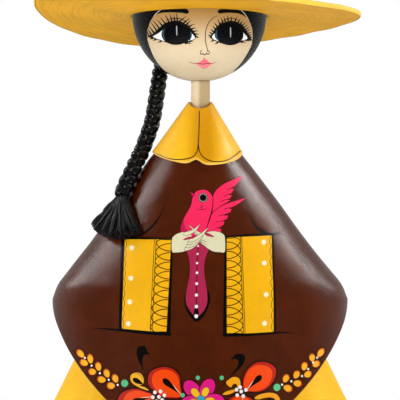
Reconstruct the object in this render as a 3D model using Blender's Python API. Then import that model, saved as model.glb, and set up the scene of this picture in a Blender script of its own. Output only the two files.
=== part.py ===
"""Papier-mache lady figurine: cone skirt, cape, collar, neck, ball head, hat and braid.

Metres, +Z up, the lady faces -Y and +X is the viewer's right. The origin is the
middle of the skirt's flat underside.
"""
import math

import bmesh
import bpy
from mathutils import Vector

gap = 0.0003

skirt_radius = 0.1357
skirt_height = 0.256
skirt_top_radius = 0.00896
skirt_edge = 0.0015

cape_wall = 0.0033
cape_rise = 0.006
cape_side_drop = 0.1332
cape_front_drop = 0.2295
cape_standoff = 0.0122
cape_shift = -0.0004
cape_lean = 0.0185
elbow_reach = 0.1103
hem_power = 1.53
hem_round = 0.0011
side_shape = [(0.0, 0.0), (0.171, 0.184), (0.315, 0.336), (0.468, 0.490),
              (0.669, 0.685), (0.842, 0.874), (0.920, 0.956), (1.0, 1.0)]
front_shape = [(0.0, 0.33), (0.101, 0.83), (0.151, 0.955), (0.276, 1.0),
               (0.498, 0.78), (0.72, 0.467), (1.0, 0.016)]

collar_wall = 0.0013
collar_rise = 0.014
collar_ease = 0.0019
collar_slope = 0.665
collar_side_drop = 0.0369
collar_front_drop = 0.0108
collar_skew = 0.003
collar_notch = 0.0038
collar_dip = 0.0055
collar_shift = -0.0003
collar_lean = 0.062

neck_radius = 0.00705
neck_show = 0.01535

head_radius = 0.05025
head_shift = -0.0009

brim_radius = 0.1222
brim_shift = -0.0024
brim_edge = 0.0036
brim_lift = -0.0022
brim_seat = -0.0016
brim_waves = [(-0.0043, -0.0073), (0.0034, 0.0044)]
crown_wall = 0.0036
crown_ease = 0.0004
crown_fillet = 0.006

strand_radius = 0.0033
strand_swing = 0.003
strand_depth = 0.0018
plait_pitch = 0.0255
plait_steps = 12
plait_rows = 14
nape_path = [(-0.537, 0.806, -0.589), (-0.589, 0.577, -0.768), (-0.625, 0.36, -1.04),
             (-0.66, 0.24, -1.30), (-0.715, 0.125, -1.62)]
shoulder_path = [(0.2012, 0.0), (0.2462, 11.0), (0.2943, 18.5), (0.3326, 22.5),
                 (0.3791, 25.5), (0.4249, 28.5), (0.4497, 30.5)]
shoulder_ease = 0.0003
knot_radius = 0.0064
lock_radius = 0.0037
tassel_ends = [(5.0, 0.608, 0.84), (23.0, 0.642, 0.95), (34.0, 0.657, 1.0),
               (42.5, 0.664, 1.0), (50.0, 0.657, 0.97), (56.0, 0.634, 0.89)]

cape_steps = 60
collar_steps = 48

cape_top = skirt_height + cape_rise
elbow_height = cape_top - cape_side_drop
collar_top = cape_top + collar_rise
collar_side = collar_top - collar_side_drop
head_height = collar_top + neck_show + head_radius


def clear_scene():
    for item in list(bpy.data.objects):
        bpy.data.objects.remove(item, do_unlink=True)


def curve_value(points, x):
    if x <= points[0][0]:
        return points[0][1]
    if x >= points[-1][0]:
        return points[-1][1]
    last = len(points) - 1
    slopes = []
    for i in range(len(points)):
        low = points[max(i - 1, 0)]
        high = points[min(i + 1, last)]
        slopes.append((high[1] - low[1]) / (high[0] - low[0]))
    i = 0
    while points[i + 1][0] < x:
        i += 1
    width = points[i + 1][0] - points[i][0]
    t = (x - points[i][0]) / width
    start = (2 * t ** 3 - 3 * t ** 2 + 1) * points[i][1] + (t ** 3 - 2 * t ** 2 + t) * width * slopes[i]
    end = (3 * t ** 2 - 2 * t ** 3) * points[i + 1][1] + (t ** 3 - t ** 2) * width * slopes[i + 1]
    return start + end


def spline_points(points, steps):
    path = []
    last = len(points) - 1
    for i in range(last):
        before = points[max(i - 1, 0)]
        after = points[min(i + 2, last)]
        lead = (points[i + 1] - before) * 0.5
        tail = (after - points[i]) * 0.5
        for k in range(steps):
            t = k / steps
            point = points[i] * (2 * t ** 3 - 3 * t ** 2 + 1)
            point = point + lead * (t ** 3 - 2 * t ** 2 + t)
            point = point + points[i + 1] * (3 * t ** 2 - 2 * t ** 3)
            point = point + tail * (t ** 3 - t ** 2)
            path.append(point)
    path.append(points[-1].copy())
    return path


def even_points(path, spacing):
    lengths = [0.0]
    for a, b in zip(path, path[1:]):
        lengths.append(lengths[-1] + (b - a).length)
    count = max(2, round(lengths[-1] / spacing + 0.001))
    result = []
    k = 0
    for i in range(count + 1):
        target = lengths[-1] * i / count
        while k < len(path) - 2 and lengths[k + 1] < target:
            k += 1
        span = lengths[k + 1] - lengths[k]
        result.append(path[k].lerp(path[k + 1], (target - lengths[k]) / span))
    return result


def add_material(name, color, roughness):
    material = bpy.data.materials.new(name)
    material.use_nodes = True
    shader = material.node_tree.nodes["Principled BSDF"]
    shader.inputs["Base Color"].default_value = (*color, 1.0)
    shader.inputs["Roughness"].default_value = roughness
    shader.inputs["Metallic"].default_value = 0.0
    return material


def add_piece(name, rings, ends, color, roughness, smooth_angle=40.0):
    """One closed body from rings of points: ends is 'caps' or 'loop'."""
    mesh = bpy.data.meshes.new(name)
    shape = bmesh.new()
    grid = [[shape.verts.new(point) for point in ring] for ring in rings]
    pairs = list(zip(grid, grid[1:]))
    if ends == "loop":
        pairs.append((grid[-1], grid[0]))
    for low, high in pairs:
        count = max(len(low), len(high))
        for i in range(count):
            j = (i + 1) % count
            if len(low) == 1:
                shape.faces.new((low[0], high[j], high[i]))
            elif len(high) == 1:
                shape.faces.new((low[i], low[j], high[0]))
            else:
                shape.faces.new((low[i], low[j], high[j], high[i]))
    if ends == "caps":
        if len(grid[0]) > 1:
            shape.faces.new(list(reversed(grid[0])))
        if len(grid[-1]) > 1:
            shape.faces.new(grid[-1])
    bmesh.ops.recalc_face_normals(shape, faces=shape.faces[:])
    if shape.calc_volume(signed=True) < 0:
        bmesh.ops.reverse_faces(shape, faces=shape.faces[:])
    shape.to_mesh(mesh)
    shape.free()
    for face in mesh.polygons:
        face.use_smooth = True
    mesh.set_sharp_from_angle(angle=math.radians(smooth_angle))
    mesh.materials.append(add_material(name, color, roughness))
    piece = bpy.data.objects.new(name, mesh)
    bpy.context.collection.objects.link(piece)
    return piece


def circle_ring(radius, height, steps, shift=0.0):
    ring = []
    for i in range(steps):
        angle = 2 * math.pi * i / steps
        ring.append(Vector((shift + radius * math.cos(angle), radius * math.sin(angle), height)))
    return ring


def skirt_at(height):
    return skirt_radius + (skirt_top_radius - skirt_radius) * height / skirt_height


def build_skirt():
    steps = 96
    rings = [circle_ring(skirt_at(0) - skirt_edge, 0.0, steps)]
    rings.append(circle_ring(skirt_at(skirt_edge), skirt_edge, steps))
    rings.append(circle_ring(skirt_at(skirt_height), skirt_height, steps))
    add_piece("skirt", rings, "caps", (1.0, 0.50, 0.03), 0.3)


def build_neck():
    steps = 32
    seat = head_radius + gap
    rings = [circle_ring(neck_radius, skirt_height + gap, steps)]
    for share in (1.0, 0.66, 0.33):
        ring = []
        for point in circle_ring(neck_radius * share, 0.0, steps):
            off = Vector((point.x - head_shift, point.y)).length
            ring.append(Vector((point.x, point.y, head_height - math.sqrt(seat ** 2 - off ** 2))))
        rings.append(ring)
    rings.append([Vector((0.0, 0.0, head_height - math.sqrt(seat ** 2 - head_shift ** 2)))])
    add_piece("neck", rings, "caps", (0.83, 0.72, 0.47), 0.35)


def build_head():
    rows = 18
    rings = [[Vector((head_shift, 0, head_height - head_radius))]]
    for i in range(1, rows):
        angle = -math.pi / 2 + math.pi * i / rows
        height = head_height + head_radius * math.sin(angle)
        rings.append(circle_ring(head_radius * math.cos(angle), height, 40, head_shift))
    rings.append([Vector((head_shift, 0, head_height + head_radius))])
    add_piece("head", rings, "caps", (0.83, 0.72, 0.47), 0.3)


def cape_center(height):
    return cape_shift - cape_lean * max(height - elbow_height, 0.0)


def neck_side():
    return neck_radius + gap + cape_wall + abs(cape_center(cape_top))


def cape_front(height):
    share = (cape_top - height) / cape_front_drop
    front = skirt_at(height) + gap + cape_wall + cape_standoff * curve_value(front_shape, share)
    return max(front, neck_side())


def cape_side(height):
    share = (cape_top - height) / cape_side_drop
    side = neck_side() + (elbow_reach - neck_side()) * curve_value(side_shape, share)
    return max(side, cape_front(height))


def cape_hem(angle):
    low = cape_top - cape_front_drop
    across = abs(math.cos(angle)) ** hem_power
    return elbow_height - (elbow_height - low) * (1 - across) ** (1 / hem_power)


def cape_point(angle, height, inset=0.0):
    x = cape_center(height) + (cape_side(height) - inset) * math.cos(angle)
    return Vector((x, (cape_front(height) - inset) * math.sin(angle), height))


def cape_normal(angle, height):
    around = cape_point(angle + 0.01, height) - cape_point(angle - 0.01, height)
    step = cape_side_drop * 0.015
    up = cape_point(angle, height + step) - cape_point(angle, height - step)
    return around.cross(up).normalized()


def cape_ring(share, inset, lift):
    ring = []
    for i in range(cape_steps):
        angle = 2 * math.pi * i / cape_steps
        hem = cape_hem(angle) + lift
        height = cape_top + (hem - cape_top) * share
        ring.append(cape_point(angle, height, inset))
    return ring


def build_cape():
    rings = []
    for share in (0.0, 0.11, 0.22, 0.33, 0.47, 0.61, 0.74, 0.85, 0.93, 1.0):
        rings.append(cape_ring(share, 0.0, hem_round))
    rings.append(cape_ring(1.0, hem_round, 0.0))
    rings.append(cape_ring(1.0, cape_wall - hem_round, 0.0))
    for share in (1.0, 0.92, 0.8, 0.55, 0.27, 0.0):
        rings.append(cape_ring(share, cape_wall, hem_round))
    add_piece("cape", rings, "loop", (0.10, 0.025, 0.009), 0.2, 50.0)


def cape_reach(angle, height, start):
    side = cape_side(height)
    front = cape_front(height)
    offset = start - cape_center(height)
    cos = math.cos(angle)
    sin = math.sin(angle)
    a = (cos / side) ** 2 + (sin / front) ** 2
    b = 2 * offset * cos / side ** 2
    c = (offset / side) ** 2 - 1
    return (-b + math.sqrt(b * b - 4 * a * c)) / (2 * a)


def collar_hem(angle):
    sin = math.sin(angle)
    drop = (collar_front_drop + collar_skew * math.cos(angle)) * abs(sin) ** 1.5
    turn = (math.degrees(angle) - 270.0) / 6.5
    return collar_side - drop + collar_notch * math.exp(-turn * turn)


def collar_ring(share, inset):
    ring = []
    for i in range(collar_steps):
        angle = 2 * math.pi * i / collar_steps
        top = collar_top - collar_dip * max(0.0, -math.sin(angle)) ** 2
        height = top + (collar_hem(angle) - top) * share
        shift = collar_shift - collar_lean * (collar_top - height)
        cone = neck_radius + collar_ease + collar_slope * (collar_top - height)
        inner = max(cone - collar_wall, neck_radius + gap)
        if height < cape_top + collar_ease:
            inner = max(inner, cape_reach(angle, min(height, cape_top), shift) + 2 * gap)
        radius = inner + collar_wall - inset
        ring.append(Vector((shift + radius * math.cos(angle), radius * math.sin(angle), height)))
    return ring


def build_collar():
    rings = []
    for share in (0.0, 0.25, 0.5, 0.75, 0.9, 1.0):
        rings.append(collar_ring(share, 0.0))
    for share in (1.0, 0.9, 0.75, 0.5, 0.25, 0.0):
        rings.append(collar_ring(share, collar_wall))
    add_piece("collar", rings, "loop", (1.0, 0.50, 0.03), 0.3)


def brim_height(angle):
    height = 0.0
    for i, (cos_part, sin_part) in enumerate(brim_waves):
        order = i + 1
        height += cos_part * math.cos(order * angle) + sin_part * math.sin(order * angle)
    return height


def brim_ring(share, lift, steps):
    inner = head_radius + gap + crown_ease
    ring = []
    for i in range(steps):
        angle = 2 * math.pi * i / steps
        radius = inner + (brim_radius - inner) * share
        shift = head_shift + (brim_shift - head_shift) * share
        height = head_height + brim_seat + (brim_lift - brim_seat + brim_height(angle)) * share ** 1.15
        ring.append(Vector((shift + radius * math.cos(angle), radius * math.sin(angle), height + lift)))
    return ring


def build_hat():
    steps = 52
    seat = head_radius + gap + crown_ease
    outer = seat + crown_wall
    span = brim_radius - seat
    rim = 1.0 - 0.5 * brim_edge / span
    rings = []
    for share in (0.0, 0.3, 0.65, rim):
        rings.append(brim_ring(share, 0.0, steps))
    rings.append(brim_ring(1.0, brim_edge * 0.3, steps))
    rings.append(brim_ring(1.0, brim_edge * 0.7, steps))
    foot = (crown_wall + crown_fillet) / span
    for share in (rim, 0.65, 0.35, foot):
        rings.append(brim_ring(share, brim_edge, steps))
    for elevation in (8.0, 22.0, 38.0, 55.0, 73.0):
        angle = math.radians(elevation)
        height = head_height + outer * math.sin(angle)
        rings.append(circle_ring(outer * math.cos(angle), height, steps, head_shift))
    rings.append([Vector((head_shift, 0, head_height + outer))])
    add_crown(rings, steps, seat)


def add_crown(rings, steps, seat):
    shell = [[Vector((head_shift, 0, head_height + seat))]]
    for elevation in (76.0, 63.0, 50.0, 37.0, 24.0, 11.0):
        angle = math.radians(elevation)
        height = head_height + seat * math.sin(angle)
        shell.append(circle_ring(seat * math.cos(angle), height, steps, head_shift))
    mesh = bpy.data.meshes.new("hat")
    shape = bmesh.new()
    outside = [[shape.verts.new(point) for point in ring] for ring in rings]
    inside = [[shape.verts.new(point) for point in ring] for ring in shell]
    for grid in (outside, inside, [inside[-1], outside[0]]):
        for low, high in zip(grid, grid[1:]):
            for i in range(steps):
                j = (i + 1) % steps
                if len(low) == 1:
                    shape.faces.new((low[0], high[j], high[i]))
                elif len(high) == 1:
                    shape.faces.new((low[i], low[j], high[0]))
                else:
                    shape.faces.new((low[i], low[j], high[j], high[i]))
    bmesh.ops.recalc_face_normals(shape, faces=shape.faces[:])
    if shape.calc_volume(signed=True) < 0:
        bmesh.ops.reverse_faces(shape, faces=shape.faces[:])
    shape.to_mesh(mesh)
    shape.free()
    for face in mesh.polygons:
        face.use_smooth = True
    mesh.set_sharp_from_angle(angle=math.radians(40.0))
    mesh.materials.append(add_material("hat", (0.74, 0.38, 0.02), 0.2))
    piece = bpy.data.objects.new("hat", mesh)
    bpy.context.collection.objects.link(piece)


def braid_path():
    lift = strand_swing + strand_radius + gap + shoulder_ease
    center = Vector((head_shift, 0, head_height))
    points = [center + Vector(share) * head_radius for share in nape_path]
    spare = collar_wall + gap
    for share, turn in shoulder_path:
        height = cape_top - cape_side_drop * share
        angle = math.radians(180.0 + turn)
        points.append(cape_point(angle, height) + cape_normal(angle, height) * (lift + spare))
        spare *= 0.3
    return points


def plait_rings():
    path = even_points(spline_points(braid_path(), 12), plait_pitch / plait_rows)
    rings = [[path[0]]]
    length = 0.0
    for i in range(1, len(path) - 1):
        length += (path[i] - path[i - 1]).length
        along = (path[i + 1] - path[i - 1]).normalized()
        wide = along.cross(Vector((0, 1, 0))).normalized()
        deep = wide.cross(along).normalized()
        phase = 2 * math.pi * length / plait_pitch
        strands = []
        for k in range(3):
            turn = phase + 2 * math.pi * k / 3
            strands.append((strand_swing * math.sin(turn), strand_depth * math.sin(2 * turn)))
        taper = min(1.0, 0.55 + 0.15 * i)
        ring = []
        for j in range(plait_steps):
            angle = 2 * math.pi * (j + 0.5) / plait_steps
            reach = 0.0
            for x, y in strands:
                near = x * math.cos(angle) + y * math.sin(angle)
                off = x * x + y * y - near * near
                if off < strand_radius ** 2:
                    reach = max(reach, near + math.sqrt(strand_radius ** 2 - off))
            reach = max(reach, strand_radius * 0.8) * taper
            ring.append(path[i] + wide * (reach * math.cos(angle)) + deep * (reach * math.sin(angle)))
        rings.append(ring)
    rings.append([path[-1]])
    return rings, path


def tube_rings(path, radii, steps):
    rings = [[path[0]]]
    for i in range(1, len(path) - 1):
        along = (path[i + 1] - path[i - 1]).normalized()
        wide = along.cross(Vector((0, 1, 0))).normalized()
        deep = wide.cross(along).normalized()
        ring = []
        for j in range(steps):
            angle = 2 * math.pi * j / steps
            ring.append(path[i] + (wide * math.cos(angle) + deep * math.sin(angle)) * radii[i])
        rings.append(ring)
    rings.append([path[-1]])
    return rings


def build_braid():
    rings, path = plait_rings()
    color = (0.008, 0.007, 0.007)
    braid = add_piece("braid", rings, "caps", color, 0.2, 60.0)
    top_share, turn = shoulder_path[-1]
    knot = path[-3]
    down = (path[-1] - path[-6]).normalized()
    wide = down.cross(Vector((0, 1, 0))).normalized()
    knot_path = [knot + down * (share * knot_radius) for share in (-0.45, -0.38, -0.15, 0.15, 0.38, 0.45)]
    knot_sizes = [0.0, knot_radius * 0.85, knot_radius, knot_radius * 1.01, knot_radius * 0.86, 0.0]
    parts = [tube_rings(knot_path, knot_sizes, 13)]
    shares = (0.0, 0.06, 0.2, 0.4, 0.6, 0.8, 0.93, 1.0)
    sizes = (0.0, 0.75, 0.9, 1.0, 1.0, 0.95, 0.6, 0.0)
    for end_turn, end_share, size in tassel_ends:
        swing = end_turn - turn
        radius = lock_radius * size
        start = knot + wide * (swing * 0.022 * knot_radius) + down * ((0.17 + 0.003 * swing) * knot_radius)
        line = []
        for share in shares:
            angle = math.radians(180.0 + turn + swing * share ** 0.85)
            level = cape_top - cape_side_drop * (top_share + (end_share - top_share) * share)
            rest = cape_point(angle, level) + cape_normal(angle, level) * (radius * 1.05 + gap)
            line.append(start.lerp(rest, min(1.0, share * 3.2)))
        parts.append(tube_rings(line, [radius * part for part in sizes], 8))
    tassel = bmesh.new()
    for rings in parts:
        lock = add_piece("tassel_lock", rings, "caps", color, 0.2)
        tassel.from_mesh(lock.data)
        bpy.data.objects.remove(lock, do_unlink=True)
    mesh = bpy.data.meshes.new("tassel")
    tassel.to_mesh(mesh)
    tassel.free()
    cutter = bpy.data.objects.new("tassel", mesh)
    bpy.context.collection.objects.link(cutter)
    cutter.hide_render = True
    cutter.display_type = "WIRE"
    join = braid.modifiers.new("join", "BOOLEAN")
    join.operation = "UNION"
    join.solver = "EXACT"
    join.use_self = True
    join.object = cutter


clear_scene()
build_skirt()
build_neck()
build_head()
build_cape()
build_collar()
build_hat()
build_braid()
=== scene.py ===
import math
import random

import bmesh
import bpy
import numpy as np
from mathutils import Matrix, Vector
from mathutils.geometry import delaunay_2d_cdt


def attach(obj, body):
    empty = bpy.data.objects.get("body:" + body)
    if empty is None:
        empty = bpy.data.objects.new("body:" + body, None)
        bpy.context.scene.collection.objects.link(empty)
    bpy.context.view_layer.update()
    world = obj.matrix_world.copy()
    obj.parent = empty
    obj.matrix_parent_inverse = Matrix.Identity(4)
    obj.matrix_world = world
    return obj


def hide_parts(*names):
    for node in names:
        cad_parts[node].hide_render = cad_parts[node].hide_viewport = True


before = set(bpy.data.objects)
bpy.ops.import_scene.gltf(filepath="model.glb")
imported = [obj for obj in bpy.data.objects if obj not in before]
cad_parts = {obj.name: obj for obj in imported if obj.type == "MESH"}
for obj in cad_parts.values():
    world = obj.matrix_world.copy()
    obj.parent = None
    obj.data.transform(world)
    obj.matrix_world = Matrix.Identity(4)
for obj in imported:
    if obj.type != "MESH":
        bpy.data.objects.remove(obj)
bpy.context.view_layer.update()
mm = 0.001

# The lady's sizes in metres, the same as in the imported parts.
lady = {
    "gap": 0.0003,
    "skirtRadius": 0.1357,
    "skirtTop": 0.00896,
    "skirtHeight": 0.256,
    "capeTop": 0.262,
    "capeWall": 0.0033,
    "capeSideDrop": 0.1332,
    "capeFrontDrop": 0.2295,
    "capeStandoff": 0.0122,
    "capeShift": -0.0004,
    "capeLean": 0.0185,
    "elbowReach": 0.1103,
    "hemPower": 1.53,
    "hemRound": 0.0011,
    "sideShape": [(0.0, 0.0), (0.171, 0.184), (0.315, 0.336), (0.468, 0.490),
                  (0.669, 0.685), (0.842, 0.874), (0.920, 0.956), (1.0, 1.0)],
    "frontShape": [(0.0, 0.33), (0.101, 0.83), (0.151, 0.955), (0.276, 1.0),
                   (0.498, 0.78), (0.72, 0.467), (1.0, 0.016)],
    "collarTop": 0.276,
    "collarSide": 0.2391,
    "collarWall": 0.0013,
    "collarEase": 0.0019,
    "collarSlope": 0.665,
    "collarFrontDrop": 0.0108,
    "collarSkew": 0.003,
    "collarNotch": 0.0038,
    "collarDip": 0.0055,
    "collarShift": -0.0003,
    "collarLean": 0.062,
    "neckRadius": 0.00705,
    "headRadius": 0.05025,
    "headShift": -0.0009,
    "headHeight": 0.3416,
}


studio = {
    "cameraPlace": (-0.0004, -1.2, 0.2025),
    "lens": 144.0,
    "sensor": 36.0,
    "aim": (0.0, 0.0, 0.2),
    "floorRadius": 0.41,
    "floorGrey": 0.85,
    "frontLight": 0.06,
    "backLight": 0.32,
    "frontToBack": (-0.3, 0.7),
    # turn from the front, height angle, distance, width, height, watts
    "strips": [
        (-84.0, 45.0, 1.1, 0.06, 0.1, 0.4),
        (-94.0, 42.0, 1.1, 0.06, 0.1, 0.4),
        (-103.0, 38.0, 1.1, 0.08, 0.1, 0.4),
        (-113.0, 30.0, 1.1, 0.08, 0.1, 0.35),
        (-122.0, 22.0, 1.1, 0.08, 0.1, 0.3),
        (98.0, 46.0, 1.1, 0.08, 0.1, 0.7),
        (105.0, 42.0, 1.1, 0.08, 0.1, 0.7),
        (112.0, 37.0, 1.1, 0.08, 0.1, 0.55),
        (116.0, 29.0, 1.1, 0.08, 0.1, 0.35),
        (120.0, 20.0, 1.1, 0.08, 0.1, 0.25),
    ],
    # the same; these light the colours and leave no reflection
    "fills": [
        (-53.0, 12.0, 1.7, 0.9, 0.9, 14.0),
        (51.0, 12.0, 1.7, 0.9, 0.9, 14.0),
        (-112.0, 18.0, 1.7, 0.9, 0.9, 12.0),
        (112.0, 18.0, 1.7, 0.9, 0.9, 13.0),
        (0.0, -27.0, 1.7, 1.2, 0.6, 22.0),
        (0.0, 80.0, 1.5, 0.9, 0.7, 6.0),
    ],
}


def addCamera():
    camera = bpy.data.objects.new("camera", bpy.data.cameras.new("camera"))
    camera.location = studio["cameraPlace"]
    camera.rotation_euler = (math.radians(90), 0, 0)
    camera.data.lens = studio["lens"]
    camera.data.sensor_width = studio["sensor"]
    bpy.context.scene.collection.objects.link(camera)
    bpy.context.scene.camera = camera


def addLights():
    for i, (turn, lift, distance, *size, watts) in enumerate(studio["strips"] + studio["fills"]):
        light = bpy.data.lights.new(f"softbox{i}", "AREA")
        light.shape = "RECTANGLE"
        light.size, light.size_y = size
        light.energy = watts
        turned, lifted = math.radians(turn), math.radians(lift)
        flat = math.cos(lifted)
        away = Vector((math.sin(turned) * flat, -math.cos(turned) * flat, math.sin(lifted)))
        holder = bpy.data.objects.new(f"softbox{i}", light)
        holder.location = Vector(studio["aim"]) + away * distance
        holder.rotation_euler = (-away).to_track_quat("-Z", "Y").to_euler()
        holder.visible_glossy = i < len(studio["strips"])
        bpy.context.scene.collection.objects.link(holder)
    world = bpy.data.worlds.new("whiteRoom")
    world.use_nodes = True
    tree = world.node_tree
    background = tree.nodes["Background"]
    background.inputs["Color"].default_value = (1, 1, 1, 1)
    wire = Wire(tree)
    way = wire.node("ShaderNodeTexCoord", {}, {}, "Generated")
    room = way.axis("Y").mapped(studio["frontLight"], studio["backLight"], *studio["frontToBack"])
    seen = wire.node("ShaderNodeLightPath", {}, {}, "Is Camera Ray")
    strength = room + seen * (1 - room)
    tree.links.new(strength.socket, background.inputs["Strength"])
    bpy.context.scene.world = world
    bpy.context.scene.view_settings.view_transform = "Standard"


# Wraps one socket, so that + - * on it add the Math nodes.
class Wire:
    def __init__(self, tree, socket=None):
        self.tree = tree
        self.socket = socket

    def node(self, kind, settings, inputs, output=0):
        made = self.tree.nodes.new(kind)
        for name, value in settings.items():
            setattr(made, name, value)
        join(made, inputs)
        return Wire(self.tree, made.outputs[output])

    def maths(self, operation, *values):
        return self.node("ShaderNodeMath", {"operation": operation}, dict(enumerate(values)))

    def __add__(self, other):
        return self.maths("ADD", self, other)

    def __sub__(self, other):
        return self.maths("SUBTRACT", self, other)

    def __rsub__(self, other):
        return self.maths("SUBTRACT", other, self)

    def __mul__(self, other):
        return self.maths("MULTIPLY", self, other)

    def axis(self, name):
        return self.node("ShaderNodeSeparateXYZ", {}, {"Vector": self}, name)

    # The middle of a noise, 0.3 to 0.7, is spread over the new range.
    def mapped(self, newLow=0.0, newHigh=1.0, low=0.3, high=0.7):
        inputs = {"Value": self, "From Min": low, "From Max": high, "To Min": newLow, "To Max": newHigh}
        return self.node("ShaderNodeMapRange", {"interpolation_type": "SMOOTHSTEP"}, inputs)

    def mixed(self, colorA, colorB):
        inputs = {0: self, 6: asColor(colorA), 7: asColor(colorB)}
        return self.node("ShaderNodeMix", {"data_type": "RGBA"}, inputs, 2)

    def noise(self, name):
        scale, detail, roughness, stretch = noises[name]
        place = self.node("ShaderNodeMapping", {}, {"Vector": self, "Scale": stretch})
        inputs = {"Vector": place, "Scale": scale, "Detail": detail, "Roughness": roughness}
        return self.node("ShaderNodeTexNoise", {}, inputs)


def join(node, values):
    for name, value in values.items():
        if isinstance(value, Wire):
            value.tree.links.new(value.socket, node.inputs[name])
        else:
            node.inputs[name].default_value = value


def asColor(color):
    return color if isinstance(color, Wire) else (*color, 1.0)


# A colour as it looks on screen, 0 to 255, in the numbers that a shader uses.
def screenColor(red, green, blue):
    return tuple((c / 255 / 12.92) if c < 10.3 else ((c / 255 + 0.055) / 1.055) ** 2.4 for c in (red, green, blue))


def newMaterial(name):
    material = bpy.data.materials.new(name)
    material.use_nodes = True
    tree = material.node_tree
    wire = Wire(tree)
    return material, wire, tree.nodes["Principled BSDF"], wire.node("ShaderNodeTexCoord", {}, {}, "Object")


def shade(color, amount):
    return tuple(min(1.0, c * amount) for c in color)


# Scale, detail, roughness and stretch of each noise.
noises = {
    "clouds": (45.0, 4.0, 0.6, (1, 1, 1)),
    "brush": (420.0, 2.0, 0.5, (1, 1, 0.12)),
    "grain": (900.0, 3.0, 0.6, (1, 1, 1)),
    "lumps": (110.0, 3.0, 0.55, (1, 1, 1)),
    "hatClouds": (28.0, 3.0, 0.6, (1, 1, 1)),
    "hatStreaks": (1.0, 3.0, 0.55, (1, 1, 1)),
    "hatGrain": (700.0, 3.0, 0.6, (1, 1, 1)),
    "yarnGrain": (500.0, 2.0, 0.5, (1, 1, 1)),
}

# How a paint is laid: shares of tone and relief, and rings and ribs for each metre or turn.
brushing = {
    "lineShare": 0.4,
    "rough": (-0.05, 0.1),
    "reliefScale": 4.0,
    "ringsOut": 420.0,
    "ringsUp": 260.0,
    "ringsAround": 2.2,
    "streakRange": (0.3, 0.62),
    "streakShare": 0.55,
    "netRange": (0.55, 0.95),
    "yarnRough": (-0.05, 0.08),
    "yarnSlant": 0.8,
}


# Varnish on a colour: roughness from the grain and a skin with a small relief, in millimetres.
def varnish(wire, shader, base, grain, gloss, rough, relief, depth, shine):
    inputs = {"Strength": 1.0, "Distance": depth * mm, "Height": relief}
    low, high = rough
    join(shader, {"Base Color": base, "Roughness": grain.mapped(gloss + low, gloss + high),
                  "Normal": wire.node("ShaderNodeBump", {}, inputs), "Specular IOR Level": shine})


# Enamel brushed on papier-mache: cloudy colour, fine brush lines, a skin with small bumps, and for some a painted
# shade that tints the colour along one axis.
def enamel(name, color, darker=0.93, lighter=1.03, gloss=0.32, bumps=0.05, shine=0.3, lines=0.5, paintedShade=None):
    material, wire, shader, where = newMaterial(name)
    grain = where.noise("grain")
    lined = brushing["lineShare"] * lines
    tone = where.noise("clouds").mapped() * (1 - lined) + where.noise("brush").mapped() * lined
    base = tone.mixed(shade(color, darker), shade(color, lighter))
    # painted shade: the colour is tinted along one axis, where less light falls
    if paintedShade:
        axis, middle, low, high, most, shadeTint = paintedShade
        reach = wire.maths("ABSOLUTE", where.axis(axis) - middle).mapped(0.0, 1.0, low, high)
        base = ((reach if most > 0 else 1 - reach) * abs(most)).mixed(base, screenColor(*shadeTint))
    relief = where.noise("lumps") * 0.5 + grain * 0.5
    varnish(wire, shader, base, grain, gloss, brushing["rough"], relief, bumps * brushing["reliefScale"], shine)
    return material


# Straw yellow brushed in rings around the hat, with thin darker streaks.
def ringBrushed(name, color, darker, lighter, gloss, bumps, shine):
    material, wire, shader, where = newMaterial(name)
    x, y, z = where.axis("X") - lady["headShift"], where.axis("Y"), where.axis("Z")
    away = wire.maths("SQRT", x * x + y * y + 0.000001)
    around = brushing["ringsAround"]
    rings = wire.node("ShaderNodeCombineXYZ", {}, {
        "X": away * brushing["ringsOut"] + z * brushing["ringsUp"],
        "Y": wire.maths("DIVIDE", x, away) * around, "Z": wire.maths("DIVIDE", y, away) * around})
    streaks, grain, part = rings.noise("hatStreaks"), where.noise("hatGrain"), brushing["streakShare"]
    tone = where.noise("hatClouds").mapped() * (1 - part) + streaks.mapped(0, 1, *brushing["streakRange"]) * part
    base = tone.mixed(shade(color, darker), shade(color, lighter))
    relief = streaks * 0.6 + grain * 0.4
    varnish(wire, shader, base, grain, gloss, brushing["rough"], relief, bumps * brushing["reliefScale"], shine)
    return material


# A flat colour with a fine slanting net painted on it.
def netPainted(name, color, thread, spacing, gloss, shine):
    material, wire, shader, where = newMaterial(name)
    x, z, turns = where.axis("X"), where.axis("Z"), 2 * math.pi / spacing
    rising, falling = wire.maths("SINE", (x + z) * turns), wire.maths("SINE", (x - z) * turns)
    net = wire.maths("MAXIMUM", rising, falling).mapped(0, 1, *brushing["netRange"])
    rough = where.noise("grain").mapped(gloss, gloss + 0.1)
    join(shader, {"Base Color": net.mixed(color, thread), "Roughness": rough, "Specular IOR Level": shine})
    return material


# Black yarn with fine ribs that run along it.
def ribbedYarn(name, color, gloss, ribs, depth, shine):
    material, wire, shader, where = newMaterial(name)
    sheet = wire.node("ShaderNodeUVMap", {"uv_map": "alongYarn"}, {})
    grain = where.noise("yarnGrain")
    turns = sheet.axis("X") * ribs + sheet.axis("Y") * brushing["yarnSlant"]
    relief = wire.maths("SINE", turns * (2 * math.pi)) * 0.4 + grain * 0.2
    base = grain.mapped().mixed(shade(color, 0.7), shade(color, 1.3))
    varnish(wire, shader, base, grain, gloss, brushing["yarnRough"], relief, depth, shine)
    return material


def hermite(t, start, lead, end, tail):
    return (start * (2 * t ** 3 - 3 * t ** 2 + 1) + lead * (t ** 3 - 2 * t ** 2 + t)
            + end * (3 * t ** 2 - 2 * t ** 3) + tail * (t ** 3 - t ** 2))


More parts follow.
